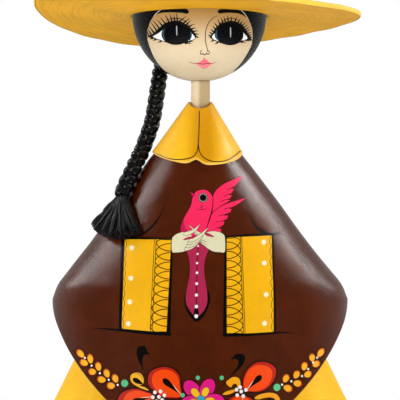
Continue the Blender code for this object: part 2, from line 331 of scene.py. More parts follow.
# The smooth curve through points (x, value), which have rising x.
def curveValue(points, x):
    places, values = (np.array(part, float) for part in zip(*points))
    last = len(places) - 1
    order = np.arange(last + 1)
    low, high = np.maximum(order - 1, 0), np.minimum(order + 1, last)
    slopes = (values[high] - values[low]) / (places[high] - places[low])
    x = np.clip(x, places[0], places[-1])
    i = np.clip(np.searchsorted(places, x, side="left") - 1, 0, last - 1)
    width = places[i + 1] - places[i]
    t = (x - places[i]) / width
    return hermite(t, values[i], width * slopes[i], values[i + 1], width * slopes[i + 1])


# Paths and painted outlines are in millimetres, as seen from the front.
def splinePoints(points, closed=False, step=0.8):
    points = np.array(points, float)
    count = len(points)
    spans = count if closed else count - 1
    path = []
    for i in range(spans):
        here, there = points[i], points[(i + 1) % count]
        before = points[i - 1] if closed or i > 0 else here
        after = points[(i + 2) % count] if closed or i + 2 < count else there
        lead, tail = (there - before) / 2, (after - here) / 2
        parts = max(2, round(float(np.linalg.norm(there - here)) / step))
        path += [hermite(k / parts, here, lead, there, tail) for k in range(parts)]
    if not closed:
        path.append(points[-1])
    return np.array(path)


# The outline of a brush stroke: widths are spread evenly along its path.
def stroke(points, widths, smooth=True, step=0.8):
    path = splinePoints(points, False, step) if smooth else np.array(points, float)
    along = np.gradient(path, axis=0)
    along /= np.linalg.norm(along, axis=1)[:, None]
    across = np.stack([-along[:, 1], along[:, 0]], 1)
    lengths = np.concatenate([[0], np.cumsum(np.linalg.norm(np.diff(path, axis=0), axis=1))])
    half = np.interp(lengths / lengths[-1], np.linspace(0, 1, len(widths)), widths)[:, None] / 2
    tipA = path[:1] - along[:1] * half[0]
    tipB = path[-1:] + along[-1:] * half[-1]
    return np.concatenate([tipA, path + across * half, tipB, (path - across * half)[::-1]])


def oval(x, z, wide, high=None, steps=18):
    angles = np.linspace(0, 2 * math.pi, steps, endpoint=False)
    return np.stack([x + np.cos(angles) * wide, z + np.sin(angles) * (high or wide)], 1)


def blob(points):
    return splinePoints(points, True)


# Half outlines from a tip to a round end: shares of the length and of the width.
seedShapes = {
    "drop": [(0, 0), (0.2, 0.22), (0.45, 0.44), (0.72, 0.5), (0.93, 0.3), (1, 0)],
    "egg": [(0, 0), (0.08, 0.24), (0.32, 0.45), (0.62, 0.5), (0.88, 0.34), (1, 0)],
    "club": [(0, 0), (0.3, 0.14), (0.55, 0.31), (0.78, 0.49), (0.93, 0.37), (1, 0)],
}


def drop(tip, end, width, kind="drop"):
    tip, end = np.array(tip, float), np.array(end, float)
    along = end - tip
    across = np.array([-along[1], along[0]]) / np.linalg.norm(along)
    half = seedShapes[kind]
    shares = half + [(a, -b) for a, b in half[-2:0:-1]]
    return blob([tip + along * a + across * b * width for a, b in shares])


def capeCenter(height):
    return lady["capeShift"] - lady["capeLean"] * np.maximum(height - (lady["capeTop"] - lady["capeSideDrop"]), 0.0)


def neckSide():
    return lady["neckRadius"] + lady["gap"] + lady["capeWall"] + abs(capeCenter(lady["capeTop"]))


def skirtAt(height):
    return lady["skirtRadius"] + (lady["skirtTop"] - lady["skirtRadius"]) * height / lady["skirtHeight"]


def capeFront(height):
    share = (lady["capeTop"] - height) / lady["capeFrontDrop"]
    standoff = lady["capeStandoff"] * curveValue(lady["frontShape"], share)
    return np.maximum(skirtAt(height) + lady["gap"] + lady["capeWall"] + standoff, neckSide())


def capeSide(height):
    share = (lady["capeTop"] - height) / lady["capeSideDrop"]
    side = neckSide() + (lady["elbowReach"] - neckSide()) * curveValue(lady["sideShape"], share)
    return np.maximum(side, capeFront(height))


def capeHem(angle):
    elbow = lady["capeTop"] - lady["capeSideDrop"]
    low = lady["capeTop"] - lady["capeFrontDrop"]
    across = np.abs(np.cos(angle)) ** lady["hemPower"]
    return elbow - (elbow - low) * np.maximum(1 - across, 0) ** (1 / lady["hemPower"])


# Slow swells and dents of a hand-laid paper skin, about -1 to 1.
def unevenness(points, wave, seed):
    draw = random.Random(seed)
    total = np.zeros(len(points))
    for i in range(14):
        way = Vector((draw.gauss(0, 1), draw.gauss(0, 1), draw.gauss(0, 1))).normalized()
        length = wave * draw.uniform(0.6, 1.9)
        total += np.sin(points @ np.array(way) * 2 * math.pi / length + draw.uniform(0, 6.28))
    return total / 4.5


def capePlace(angle, height, inset=0.0):
    angle, height = np.broadcast_arrays(np.asarray(angle, float), np.asarray(height, float))
    x = capeCenter(height) + (capeSide(height) - inset) * np.cos(angle)
    return np.stack([x, (capeFront(height) - inset) * np.sin(angle), height], -1)


# Cuts a flat sheet, in millimetres, along every painted outline.
def cutSheet(columns, rows, shapes):
    columns, rows = list(columns), list(rows)
    wide, tall = len(columns), len(rows)
    points = [(u, v) for v in rows for u in columns]
    edges = [(i, i + 1) for i in range(wide - 1)]
    edges += [((tall - 1) * wide + i, (tall - 1) * wide + i + 1) for i in range(wide - 1)]
    edges += [(k * wide, (k + 1) * wide) for k in range(tall - 1)]
    edges += [(k * wide + wide - 1, (k + 1) * wide + wide - 1) for k in range(tall - 1)]
    for outline, paint in shapes:
        first, count = len(points), len(outline)
        points += [tuple(point) for point in outline]
        edges += [(first + i, first + (i + 1) % count) for i in range(count)]
    found = delaunay_2d_cdt([Vector(point) for point in points], edges, [], 0, 0.002, False)
    places = np.array([tuple(point) for point in found[0]])
    faces = np.array([tuple(face) for face in found[2]])
    return places, faces, paintOf(places[faces].mean(1), shapes)


# The paint on top at each middle point: inside an outline when it winds around the point.
def paintOf(middles, shapes):
    paints = np.zeros(len(middles), int)
    for outline, paint in shapes:
        low, high = outline.min(0), outline.max(0)
        near = np.flatnonzero(((middles > low) & (middles < high)).all(1))
        x, y = middles[near].T
        winding = np.zeros(len(near), int)
        for (x0, y0), (x1, y1) in zip(outline, np.roll(outline, -1, 0)):
            side = (x1 - x0) * (y - y0) - (x - x0) * (y1 - y0)
            winding += (y0 <= y) & (y1 > y) & (side > 0)
            winding -= (y0 > y) & (y1 <= y) & (side < 0)
        paints[near[winding != 0]] = paint
    return paints


# A bmesh skin from a cut sheet; place turns sheet millimetres into points of the object.
def paintedSkin(columns, rows, shapes, place):
    sheet, faces, paints = cutSheet(columns, rows, shapes)
    low, high = sheet.min(0), sheet.max(0)
    points = place(sheet[:, 0], sheet[:, 1])

    def change(du, dv):
        after = place(np.minimum(sheet[:, 0] + du, high[0]), np.minimum(sheet[:, 1] + dv, high[1]))
        return after - place(np.maximum(sheet[:, 0] - du, low[0]), np.maximum(sheet[:, 1] - dv, low[1]))

    step = 0.2
    normals = np.cross(change(step, 0), change(0, step))
    sizes = np.linalg.norm(normals, axis=1)
    normals /= np.maximum(sizes, 1e-14)[:, None]
    normals[sizes < 1e-13] = 0
    middle = points.mean(0)
    if ((points - middle) * normals).sum() < 0:
        normals = -normals
    shape = bmesh.new()
    keep = shape.verts.layers.float_vector.new("skinNormal")
    spot = shape.verts.layers.float_vector.new("sheetPlace")
    verts = []
    for point, normal, flat in zip(points, normals, sheet):
        vert = shape.verts.new(point)
        vert[keep] = normal
        vert[spot] = (flat[0], flat[1], 0)
        verts.append(vert)
    for face, paint in zip(faces, paints):
        made = shape.faces.new([verts[i] for i in face])
        made.material_index = int(paint)
        made.smooth = True
    shape.normal_update()
    if sum(face.normal.dot(face.verts[0][keep]) * face.calc_area() for face in shape.faces) < 0:
        bmesh.ops.reverse_faces(shape, faces=shape.faces[:])
    return shape


def finishPiece(name, shape, paints, node):
    mesh = bpy.data.meshes.new(name)
    shape.to_mesh(mesh)
    shape.free()
    for paint in paints:
        mesh.materials.append(paint)
    if "skinNormal" in mesh.attributes:
        kept = np.zeros(len(mesh.vertices) * 3, np.float32)
        mesh.attributes["skinNormal"].data.foreach_get("vector", kept)
        kept = kept.reshape(-1, 3)
        own = np.array([tuple(normal.vector) for normal in mesh.vertex_normals])
        bare = np.linalg.norm(kept, axis=1) < 0.5
        kept[bare] = own[bare]
        mesh.normals_split_custom_set_from_vertices(kept.tolist())
        for layer in ("skinNormal", "sheetPlace"):
            mesh.attributes.remove(mesh.attributes[layer])
    piece = bpy.data.objects.new(name, mesh)
    bpy.context.scene.collection.objects.link(piece)
    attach(piece, "root")
    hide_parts(node)
    return piece


# Extrudes an edge once: the new vertices, the edge's new place and the new faces.
def extruded(shape, edges):
    made = bmesh.ops.extrude_edge_only(shape, edges=edges)["geom"]
    verts, links, faces = ([item for item in made if isinstance(item, kind)]
                           for kind in (bmesh.types.BMVert, bmesh.types.BMEdge, bmesh.types.BMFace))
    return verts, [edge for edge in links if edge.is_boundary], faces


# Carries an open edge on through a row of places; each place is a function of the sheet's first number.
def carryEdge(shape, edges, steps, paint):
    keep = shape.verts.layers.float_vector["skinNormal"]
    spot = shape.verts.layers.float_vector["sheetPlace"]
    for move in steps:
        verts, edges, faces = extruded(shape, edges)
        for vert in verts:
            vert.co = move(vert[spot][0])
            vert[keep] = (0, 0, 0)
        for face in faces:
            face.material_index = paint
            face.smooth = True
    return edges


# Turns the skin's hem inward and up its inner side, and closes the wall at the top.
def foldUnder(skin, along, hemSteps, hemPaint, innerSteps):
    spot = skin.verts.layers.float_vector["sheetPlace"]
    hem = [edge for edge in skin.edges if edge.is_boundary
           and all(abs(vert[spot][1] - along) < 0.01 for vert in edge.verts)]
    carryEdge(skin, carryEdge(skin, hem, hemSteps, hemPaint), innerSteps, 0)
    bmesh.ops.bridge_loops(skin, edges=[edge for edge in skin.edges if edge.is_boundary])


# Painted outlines in order; a later one lies on top.
class Picture:
    def __init__(self, base, toSheet):
        self.names = [base]
        self.shapes = []
        self.toSheet = toSheet

    def add(self, name, outline):
        if name not in self.names:
            self.names.append(name)
        self.shapes.append((self.toSheet(np.asarray(outline, float)), self.names.index(name)))


# Corners joined by straight lines, with points between them.
def straight(corners, step=2.0):
    path = []
    for here, there in zip(corners, list(corners[1:]) + [corners[0]]):
        here, there = np.array(here, float), np.array(there, float)
        parts = max(1, round(float(np.linalg.norm(there - here)) / step))
        path += [here + (there - here) * k / parts for k in range(parts)]
    return np.array(path)


def grown(outline, amount):
    outline = np.asarray(outline, float)
    along = np.roll(outline, -1, 0) - np.roll(outline, 1, 0)
    along /= np.maximum(np.linalg.norm(along, axis=1), 1e-9)[:, None]
    across = np.stack([along[:, 1], -along[:, 0]], 1)
    x, z = outline.T
    turned = (x * np.roll(z, -1) - z * np.roll(x, -1)).sum()
    return outline + across * (amount if turned > 0 else -amount)


def inked(picture, name, outline, line=0.45):
    picture.add("ink", grown(outline, line))
    picture.add(name, outline)


def capeToSheet(spots, across, along):
    x, height = spots[:, 0] * mm, spots[:, 1] * mm
    cos = np.clip((x - capeCenter(height)) / capeSide(height), -0.9995, 0.9995)
    angle = 2 * math.pi - np.arccos(cos)
    hem = capeHem(angle) + lady["hemRound"]
    share = np.clip((lady["capeTop"] - height) / (lady["capeTop"] - hem), 0.005, 0.99)
    return np.stack([angle / (2 * math.pi) * across, share * along], 1)


# Widths of the painted lines and sizes of the dots, in millimetres.
brush = {
    "outline": 0.4,
    "thinOutline": 0.25,
    "band": 0.45,
    "cuffWaves": 0.35,
    "collarLine": 0.75,
    "leaf": 4.8,
    "leafHeart": 3.9,
    "leafHalo": 1.0,
    "petalHalo": 1.3,
    "petalLine": 0.5,
    "pinkPetal": 9.4,
    "pinkHeart": 4.5,
    "smallDot": 0.75,
    "whiteDot": 1.25,
    "greenDot": 1.45,
    "bigGreenDot": 2.45,
    "centre": 2.5,
    "lash": [1.35, 0.8, 0.2],
    "lashBend": 0.25,
    "shine": [0.7, 0.9, 0.6],
    "lipDot": 0.35,
}

sleeve = {
    "leftInk": [(-57.2, 176.1), (-19.8, 175.5), (-19.7, 165), (-21, 109), (-57.2, 111.4)],
    "leftYellow": [(-54.5, 174.2), (-20.8, 174.7), (-23.7, 110.5), (-55, 112.4)],
    "rightInk": [(17.1, 176.7), (53, 178.4), (52.6, 109.3), (15.5, 108)],
    "rightYellow": [(18.6, 175.8), (51.3, 177), (51.1, 110.3), (18.3, 109.4)],
    "lines": [
        ([(-69.1, 176.5), (-55.2, 175.4), (-36.1, 175.1), (-20, 175.2)], [0.3, 1.7, 1.5, 0.9]),
        ([(-78.5, 111.6), (-68.1, 111.7), (-55, 111.2), (-38, 110), (-21.2, 109.4)], [0.2, 1.2, 1.8, 2.2, 2.4]),
        ([(17.2, 176.5), (35.4, 177.5), (52.3, 178.2), (60.7, 178.8)], [0.9, 1.5, 1.5, 0.4]),
        ([(16, 108.7), (34.4, 108.9), (52.1, 109.6), (58.5, 109.6), (68, 108.2)], [2, 2, 1.7, 1.2, 0.2]),
        ([(-25.3, 203.2), (-27.2, 195.3), (-31.6, 187.4), (-37.4, 181.3), (-43.9, 177.2), (-50, 175.9)],
            [0.2, 0.5, 1.2, 1.9, 1.5, 0.4]),
        ([(34.9, 198.2), (36, 189.9), (39.5, 183.8), (44.6, 179.9), (51.1, 178.1), (59.2, 178.5)],
            [0.2, 0.9, 1.9, 2, 1.1, 0.3]),
    ],
    "dotSize": 1.75,
    "laceLine": 0.62,
    "lacePitch": 6.45,
    "laceHeight": 5.9,
    "laceStart": 2.6,
    "leftLaceEnd": (-31.3, -35),
    "rightLaceEnd": (28.2, 29.7),
    "laceLoop": [(0, 1), (0.36, 0.93), (0.74, 0.62), (1, 0), (0.76, -0.6), (0.38, -0.9), (0, -1)],
    "bands": [[(-32.9, 174.5), (-35.1, 110.7)], [(-31.6, 174.5), (-33.7, 110.7)], [(28.3, 176.1), (29.8, 110.1)],
        [(29.3, 176.1), (30.9, 110.1)]],
    "dots": [(-49.2, 168.3), (-49.4, 147.1), (-49.8, 130.8), (-50.5, 115.9), (45.4, 172.3), (45.5, 157.6),
        (46, 135.9), (44.7, 116.3)],
    "scallops": 9,
}


# Lace along a cuff: half loops that overlap, from the inner edge out to a thin band.
def paintLace(picture, inner, outer):
    (topX, topZ), (lowX, lowZ) = inner
    pitch, high = sleeve["lacePitch"], sleeve["laceHeight"]
    rows = []
    for i in range(int((topZ - lowZ) / pitch) + 1):
        z = topZ - sleeve["laceStart"] - i * pitch
        share = (topZ - z) / (topZ - lowZ)
        near = topX + (lowX - topX) * share
        rows.append((z, near, outer[0] + (outer[1] - outer[0]) * share - near))
    for z, near, reach in rows[1:]:
        if z - 2 > lowZ:
            picture.add("laceOrange", oval(near + reach * 0.2, z + 0.3, abs(reach) * 0.17, 1.5))
    for z, near, reach in rows:
        path = [(near + reach * a, min(max(z + high * b, lowZ + 0.4), topZ - 0.4)) for a, b in sleeve["laceLoop"]]
        picture.add("ink", stroke(path, [sleeve["laceLine"]]))


def paintScallop(picture, top, low, inset, bulge):
    path = []
    for share in np.linspace(0, 1, 46):
        inward = inset + bulge * abs(math.sin(share * math.pi * sleeve["scallops"]))
        path.append((top[0] + (low[0] - top[0]) * share + inward, top[1] + (low[1] - top[1]) * share))
    picture.add("ink", stroke(path, [brush["cuffWaves"]]))


def paintSleeves(picture):
    for side in ("left", "right"):
        picture.add("ink", straight(sleeve[side + "Ink"]))
        picture.add("sleeveYellow", straight(sleeve[side + "Yellow"]))
    for path, widths in sleeve["lines"]:
        picture.add("ink", stroke(path, widths))
    left, right = sleeve["leftYellow"], sleeve["rightYellow"]
    paintScallop(picture, left[0], left[3], 0.4, 1.0)
    paintScallop(picture, right[1], right[2], -0.4, -1.2)
    for band in sleeve["bands"]:
        picture.add("ink", stroke(band, [brush["band"]]))
    paintLace(picture, (left[1], left[2]), sleeve["leftLaceEnd"])
    paintLace(picture, (right[0], right[3]), sleeve["rightLaceEnd"])
    for spot in sleeve["dots"]:
        picture.add("dotCream", oval(*spot, sleeve["dotSize"]))


bird = {
    "body": [(-4.1, 207.5), (-1.9, 209.1), (1.5, 209.9), (5, 209.1), (7.6, 206.6), (8.8, 203.2), (8.2, 197.9),
        (7.2, 192.8), (5.6, 187.6), (4.5, 183.3), (4.5, 179), (10.6, 177.3), (8.8, 172.2), (-9.2, 172.2),
        (-14, 179), (-13.4, 185.9), (-10.6, 191.9), (-8, 196.2), (-6.5, 199.7), (-5.9, 203.6)],
    "breast": [(-9.2, 175.6), (-14, 179), (-13.6, 184.6), (-12.2, 188.4), (-11.2, 183.3), (-8.4, 179)],
    # each wing's smooth front edge, then the tips and notches behind it
    "upperWing": ([(6, 188.2), (7.2, 194.9), (8, 201.1), (9.7, 207.2), (12.7, 211), (17.2, 214.2), (22.6, 216.7),
        (30.3, 220.3)], [(28.3, 216.3), (24.8, 212.7), (21.3, 210.9), (24.4, 210.5), (22.5, 207.5), (19, 206.5),
        (22.7, 206), (21.2, 203.7), (17.2, 202.6), (21.4, 202.5), (18.1, 200.3), (14.3, 198.4), (11, 195.8),
        (8.4, 192.7)]),
    "lowerWing": ([(3.5, 181.1), (4.5, 184.7), (5.7, 188.5), (8.1, 192.4), (11.7, 196), (16.5, 198.8),
        (22.1, 200.9), (33.8, 204.4)], [(30.1, 201.8), (26.5, 199.3), (22.8, 197.5), (18.9, 196.6), (22.3, 195.9),
        (21, 193.6), (17.6, 192.4), (14.1, 191.5), (19.9, 191.4), (18.6, 188.8), (15.4, 187.6), (12.1, 187.1),
        (17, 187.3), (16.4, 184.9), (14.2, 183.4), (11.7, 182.7), (14.7, 181.8), (14.4, 179.5), (12.4, 178.5),
        (4.4, 178.6)]),
    "notchLines": [[(21.3, 210.9), (18.5, 209.4)], [(19, 206.5), (16.4, 204.6)], [(17.2, 202.6), (14.3, 201.1)],
        [(18.9, 196.6), (16.3, 195.6)], [(14.1, 191.5), (12.9, 191.1)], [(12.1, 187.1), (10.8, 186.8)],
        [(11.7, 182.7), (10.2, 182.3)]],
    "beak": [(-4.1, 207), (-6.2, 207.5), (-7.6, 208.4), (-6.2, 205.9), (-4.8, 205.4)],
    "tail": [(-9.6, 167.5), (-8.3, 161.2), (-7.5, 155.3), (-7.9, 148.6), (-9.3, 142), (-10.5, 134.5),
        (-9.4, 128.7), (-6.7, 124.6), (-3, 121.2), (1.2, 124.2), (4, 128.7), (4.8, 134.5), (4, 142), (2.9, 148.6),
        (2.6, 155.3), (3.3, 161.2), (5.5, 167.5), (2.1, 170.3), (-1.8, 172), (-5.8, 170.3)],
    "tailShade": [(-10.6, 136.2), (-11, 132), (-9.8, 126.3), (-6.7, 121.4), (-2.8, 118.4), (1.7, 121.8),
        (5.1, 127.9), (6.3, 133.7), (5, 138.6), (2.8, 130.4), (-2.8, 123.8), (-8.2, 129.6)],
    "eye": (1.8, 204.2),
    "cheek": [(0.7, 199.5), (0.8, 196)],
    "cheekLine": [(-3.4, 196.4), (-1.1, 195.7), (2, 195.7), (4.6, 196.4)],
    "tailDots": [(-1.7, 169.9, 0.6), (-2.1, 164.4, 0.75), (-2.5, 158, 0.85), (-2.5, 151.3, 0.95), (-2.7, 143.8, 1),
        (-2.9, 136, 1.1), (-2.9, 128.2, 1.2), (-3, 121.6, 1.35)],
    "tailDrop": ((-2.9, 130.5), (-3, 119), 3.6),
    "featherLine": ([(8.9, 203.6), (8.6, 197.9), (7.9, 192.8), (5.8, 186.7), (4.2, 182.4)], [0.3, 0.5, 0.5, 0.4]),
    "eyeRings": [("ink", 3.5), ("eyeGrey", 3.2), ("ink", 2.4)],
}


def paintBird(picture):
    for name in ("upperWing", "lowerWing"):
        front, tips = bird[name]
        inked(picture, "birdPink", np.concatenate([splinePoints(front), np.array(tips)]), brush["outline"])
    for path in bird["notchLines"]:
        picture.add("ink", stroke(path, [0.55, 0.2]))
    inked(picture, "birdPink", blob(bird["body"]), brush["outline"])
    picture.add("birdShade", blob(bird["breast"]))
    inked(picture, "birdShade", straight(bird["beak"], 0.8), brush["thinOutline"])
    picture.add("ink", stroke(*bird["featherLine"]))
    for paint, size in bird["eyeRings"]:
        picture.add(paint, oval(*bird["eye"], size))
    picture.add("birdShade", drop(*bird["cheek"], 1.6))
    picture.add("ink", stroke(bird["cheekLine"], [0.15, 0.35, 0.15]))


def paintTail(picture):
    picture.add("ink", grown(blob(bird["tail"]), 0.3))
    picture.add("ink", grown(blob(bird["tailShade"]), 0.4))
    picture.add("tailRose", blob(bird["tail"]))
    picture.add("ink", stroke([(x, z) for x, z, size in bird["tailDots"]], [0.5, 0.6, 0.6, 0.7, 0.8]))
    picture.add("ink", drop(*bird["tailDrop"]))
    for x, z, size in bird["tailDots"]:
        picture.add("dotWhite", oval(x, z, size))


hands = {
    "leftPalm": [(-20.3, 174.5), (-18.9, 176.9), (-16.5, 178.5), (-12.7, 179.6), (-9.3, 179.7), (-7.1, 178.2),
        (-5.8, 175.6), (-4.9, 172.2), (-6.5, 168.8), (-9.6, 166.8), (-13.5, 165.7), (-17.4, 165.4), (-20.2, 166.1)],
    "rightPalm": [(17.3, 175.6), (16.2, 178), (13.6, 179.5), (9.7, 180.2), (5.8, 179.9), (3.2, 178.8),
        (1.3, 176.9), (-0.2, 174.6), (0.1, 172.2), (2.8, 169.8), (5.8, 167.8), (9.2, 166.1), (13.5, 165.6),
        (17.2, 166.1)],
    "leftFingers": [
        ([(-11, 178.3), (-6.7, 179.7), (-3.4, 181.8), (-0.8, 185)], [2.6, 2.2, 1.4, 0.25]),
        ([(-7.5, 173.6), (-3, 175.4), (1.5, 178.6), (5.1, 182.6)], [2.5, 2.2, 1.6, 0.25]),
        ([(-8.4, 171.9), (-4.1, 173.1), (-0.6, 175), (1.6, 176.6)], [2.4, 2, 1.5, 0.5]),
        ([(-9.2, 169.7), (-4.9, 171), (-1.7, 172.9), (0.2, 174.4)], [2.4, 2, 1.4, 0.5]),
        ([(-10.5, 167.6), (-6.6, 168.8), (-3.6, 170.5), (-1.5, 172.2)], [2.3, 1.9, 1.3, 0.5]),
    ],
    "rightFingers": [
        ([(4.5, 176.6), (-0.2, 178.2), (-4.1, 180.7), (-8.2, 184.5)], [2.2, 1.9, 1.2, 0.2]),
        ([(3.2, 175.4), (-1.1, 176.6), (-4.1, 179), (-6.5, 181.4)], [1.6, 1.2, 0.8, 0.2]),
    ],
    "rightKnuckles": [
        [(-0.5, 174.6), (2.4, 173.4), (5.6, 172.5)],
        [(-0.5, 173.1), (2.4, 171.7), (5, 170.5)],
        [(0.4, 171.2), (2.8, 170), (4.5, 169.3)],
    ],
    "gaps": [
        [(-12.2, 174.2), (-9.2, 175.9), (-5.8, 176.5), (-2.7, 177.5), (-4.8, 175.7), (-8.4, 174.8)],
        [(3, 179.1), (5.8, 178.5), (9.4, 176.5), (6.7, 176.7), (4.1, 177.4)],
    ],
}


def paintHands(picture):
    for path, widths in hands["rightFingers"]:
        inked(picture, "handCream", stroke(path, widths), 0.28)
    inked(picture, "handCream", blob(hands["rightPalm"]), 0.28)
    for path in hands["rightKnuckles"]:
        picture.add("ink", stroke(path, [0.4, 0.3, 0.1]))
    inked(picture, "handCream", blob(hands["leftPalm"]), 0.28)
    for path, widths in reversed(hands["leftFingers"]):
        inked(picture, "handCream", stroke(path, widths), brush["thinOutline"])
    for gap in hands["gaps"]:
        inked(picture, "birdShade", blob(gap), 0.22)


flowers = {
    # each leaf from the dot that it points to, to its round end
    "leftLeaves": [[(-82.2, 90.8), (-88.6, 95.5)], [(-77.2, 86.6), (-78.6, 93.9)], [(-78.9, 86.5), (-86.1, 88)],
        [(-70.7, 82.2), (-72.7, 88.8)], [(-72.7, 82), (-79.4, 81.5)], [(-64.2, 78.2), (-66.7, 84.5)],
        [(-65.5, 76.9), (-72.7, 77.1)], [(-57.9, 75.3), (-60.6, 81.4)], [(-58.8, 73.7), (-65.6, 73.2)]],
    "leftDots": [(-82.1, 90.7), (-76.9, 85.8), (-70.6, 81.2), (-64, 77.3), (-57.5, 74.3)],
    "leftGreen": (-52.6, 75.7),
    "rightLeaves": [[(82.6, 90.8), (88, 96.6)], [(79.4, 87.9), (78.2, 94)], [(78.4, 85.6), (84.9, 87.2)],
        [(72, 82.3), (73.5, 88.7)], [(71.8, 79.4), (78.3, 80.7)], [(65.2, 77.6), (68.6, 83.1)],
        [(64, 75.3), (70.9, 73.8)], [(57.6, 75.5), (61, 81.2)], [(57, 73.5), (63.9, 70.3)]],
    "rightDots": [(82.6, 90.7), (79.4, 87.7), (75.6, 83.6), (70.9, 79.2), (63.2, 76.3), (56.5, 74.5)],
    "rightGreen": (52.9, 72.9),
    # rim outline, orange part, black drop from its point, its width, the side of its highlight
    "petals": [
        ([(-13.3, 68.2), (-20.6, 67.2), (-26.2, 67.9), (-30.5, 71.1), (-34.4, 74), (-36.3, 77.9), (-35.4, 82.7),
            (-32, 85.8), (-26.4, 87.5), (-20.8, 87), (-16.5, 84.5), (-14.3, 81.2), (-13.7, 75.8)], [(-13.6, 68.8),
            (-20.3, 68), (-26.2, 68.9), (-29.8, 71.5), (-32.6, 75.1), (-33.5, 78.7), (-32.2, 82.8), (-29.2, 84.9),
            (-25.7, 85.8), (-21.1, 85.4), (-17.6, 83.5), (-15.2, 80.5), (-14.4, 75.8)],
            [(-12.6, 68.8), (-25.8, 79.7)], 4.2, -1),
        ([(-32.6, 68.7), (-38.2, 71.2), (-44, 72.5), (-49.7, 71.6), (-54.7, 69), (-57.2, 64.7), (-55.2, 59.6),
            (-50.1, 57.2), (-43, 57.6), (-36.7, 61.9)], [(-33.3, 68.3), (-38.2, 70.4), (-43.9, 71.4),
            (-48.9, 70.1), (-52.1, 67.4), (-53.2, 64.3), (-51.6, 60.5), (-48, 58.7), (-43, 59), (-37.4, 62.5)],
            [(-32.9, 67.7), (-47.4, 63.7)], 3.6, -1),
        ([(31.6, 71.5), (29.1, 74.1), (29.5, 79.5), (31.4, 84.1), (35, 88.1), (39.3, 90.1), (44.3, 90.3),
            (48.9, 88.6), (52.2, 85.4), (52.2, 81.3), (49.5, 76), (45.1, 72.2), (39, 70.6)], [(31.9, 71.9),
            (29.8, 74.6), (30.2, 79.5), (32.1, 83.8), (35.3, 86.9), (39.2, 88.3), (43.5, 88.1), (47.5, 86.6),
            (49.6, 83.8), (49.6, 80.7), (47.7, 76.1), (44, 72.9), (38.7, 71.2)], [(31.4, 71.7), (42.1, 81.3)], 4,
            1),
        ([(28, 68.8), (31.9, 68), (36.4, 65.2), (38.1, 60.5), (34.6, 56), (27.5, 55), (21.3, 57.8), (19.2, 62.4),
            (19.6, 66.4), (23.5, 68.6)], [(28, 68), (31.5, 67.2), (34.7, 64.9), (35.9, 60.9), (33.2, 57.7),
            (27.5, 56.8), (22.7, 59), (21, 62.7), (21.2, 65.7), (24.2, 67.7)], [(28, 68.2), (28.3, 58.9)], 3.6, 1),
    ],
    "whiteDots": [(-31.3, 70.7), (-27.4, 71.4), (-24.7, 68.9), (-32.7, 67.4), (-28.5, 67.8), (-26.2, 65.8),
        (-30.1, 64.8), (27.2, 74.1), (24.7, 72.6), (31.2, 72.2), (27.9, 71.3), (25.1, 68.9), (29.3, 68.3)],
    # outline, seed in it, the seed's width, paint
    "hooks": [
        ([(-48.7, 79.5), (-47.7, 81.9), (-44.5, 83.2), (-41.2, 82.5), (-39.2, 79.2), (-39.6, 75.9), (-41.9, 74.7),
            (-38.3, 73.8), (-35.6, 71.8), (-40.4, 72.8), (-44.7, 74.6), (-47.6, 76.5)],
            [(-39.4, 75.7), (-46.8, 79)], 3.4, "leafYellow"),
        ([(17.4, 77.1), (19.7, 79.7), (22.9, 81), (26, 80.2), (27.4, 77.5), (27.2, 74.2), (25.6, 73.2),
            (24.6, 76.3), (22.1, 76), (20.7, 74.2)], [(24.2, 74.6), (24.6, 75.9)], 1.5, "laceOrange"),
        ([(14.9, 69.8), (17.9, 71.7), (23.5, 72.8), (23.8, 71.6), (20.7, 70), (17.2, 69.4)], None, 0, "laceOrange"),
        ([(37, 66.8), (41.1, 69), (47.6, 69.7), (52.6, 68.4), (55, 64.8), (55.5, 60.8), (52.4, 61.7), (51.4, 65.1),
            (48.2, 66.6), (43.2, 66.3), (39.6, 65.7)], [(52.5, 62.3), (46.1, 65.4)], 2.4, "laceOrange"),
    ],
    "hookLine": [(-45, 82.7), (-42.7, 82.1), (-41, 80.8), (-40.3, 79)],
    "pinkCentre": (0.3, 66.6),
    "pinkPetals": [[(0.2, 67.1), (-10.7, 78)], [(0.6, 67.1), (8.1, 79.5)], [(-0.4, 65.9), (-13.3, 62.7)],
        [(1.1, 65.9), (16.4, 65)], [(0.2, 65.9), (-6.3, 55.4)], [(0.7, 65.9), (7.2, 55.4)]],
    "greens": [(-1.9, 80.7), (-12.2, 69.2), (14.5, 80.5)],
    "curls": [
        [(-42.2, 100.8), (-40.4, 101.4), (-38.5, 100.8), (-37.3, 99.3), (-37.1, 97.6), (-34.7, 95.9),
            (-37.1, 95.6), (-39.1, 95), (-40, 93.4), (-40.2, 91.3), (-40, 88.6), (-39.1, 84.3), (-40.8, 87.1),
            (-42.7, 90.6), (-44.1, 94.6), (-44.4, 97.7), (-43.7, 99.7)],
        [(20.5, 92.6), (22.6, 94.3), (23.7, 95.8), (26.5, 96.3), (29.4, 95.8), (30.8, 93.6), (29.9, 90.3),
            (27.5, 87.1), (23.6, 83.7), (19.7, 80.4), (22.5, 84.4), (25.2, 87.7), (26.2, 91), (25.2, 92.4),
            (23, 92.8)],
    ],
    "vines": [
        ([(19.3, 80.4), (16.5, 77.1), (12.3, 73.2)], [0.9, 0.2]),
        ([(-39.5, 84.9), (-37.7, 81.3), (-35.9, 78), (-34.4, 75)], [0.3, 0.8, 0.3]),
    ],
}


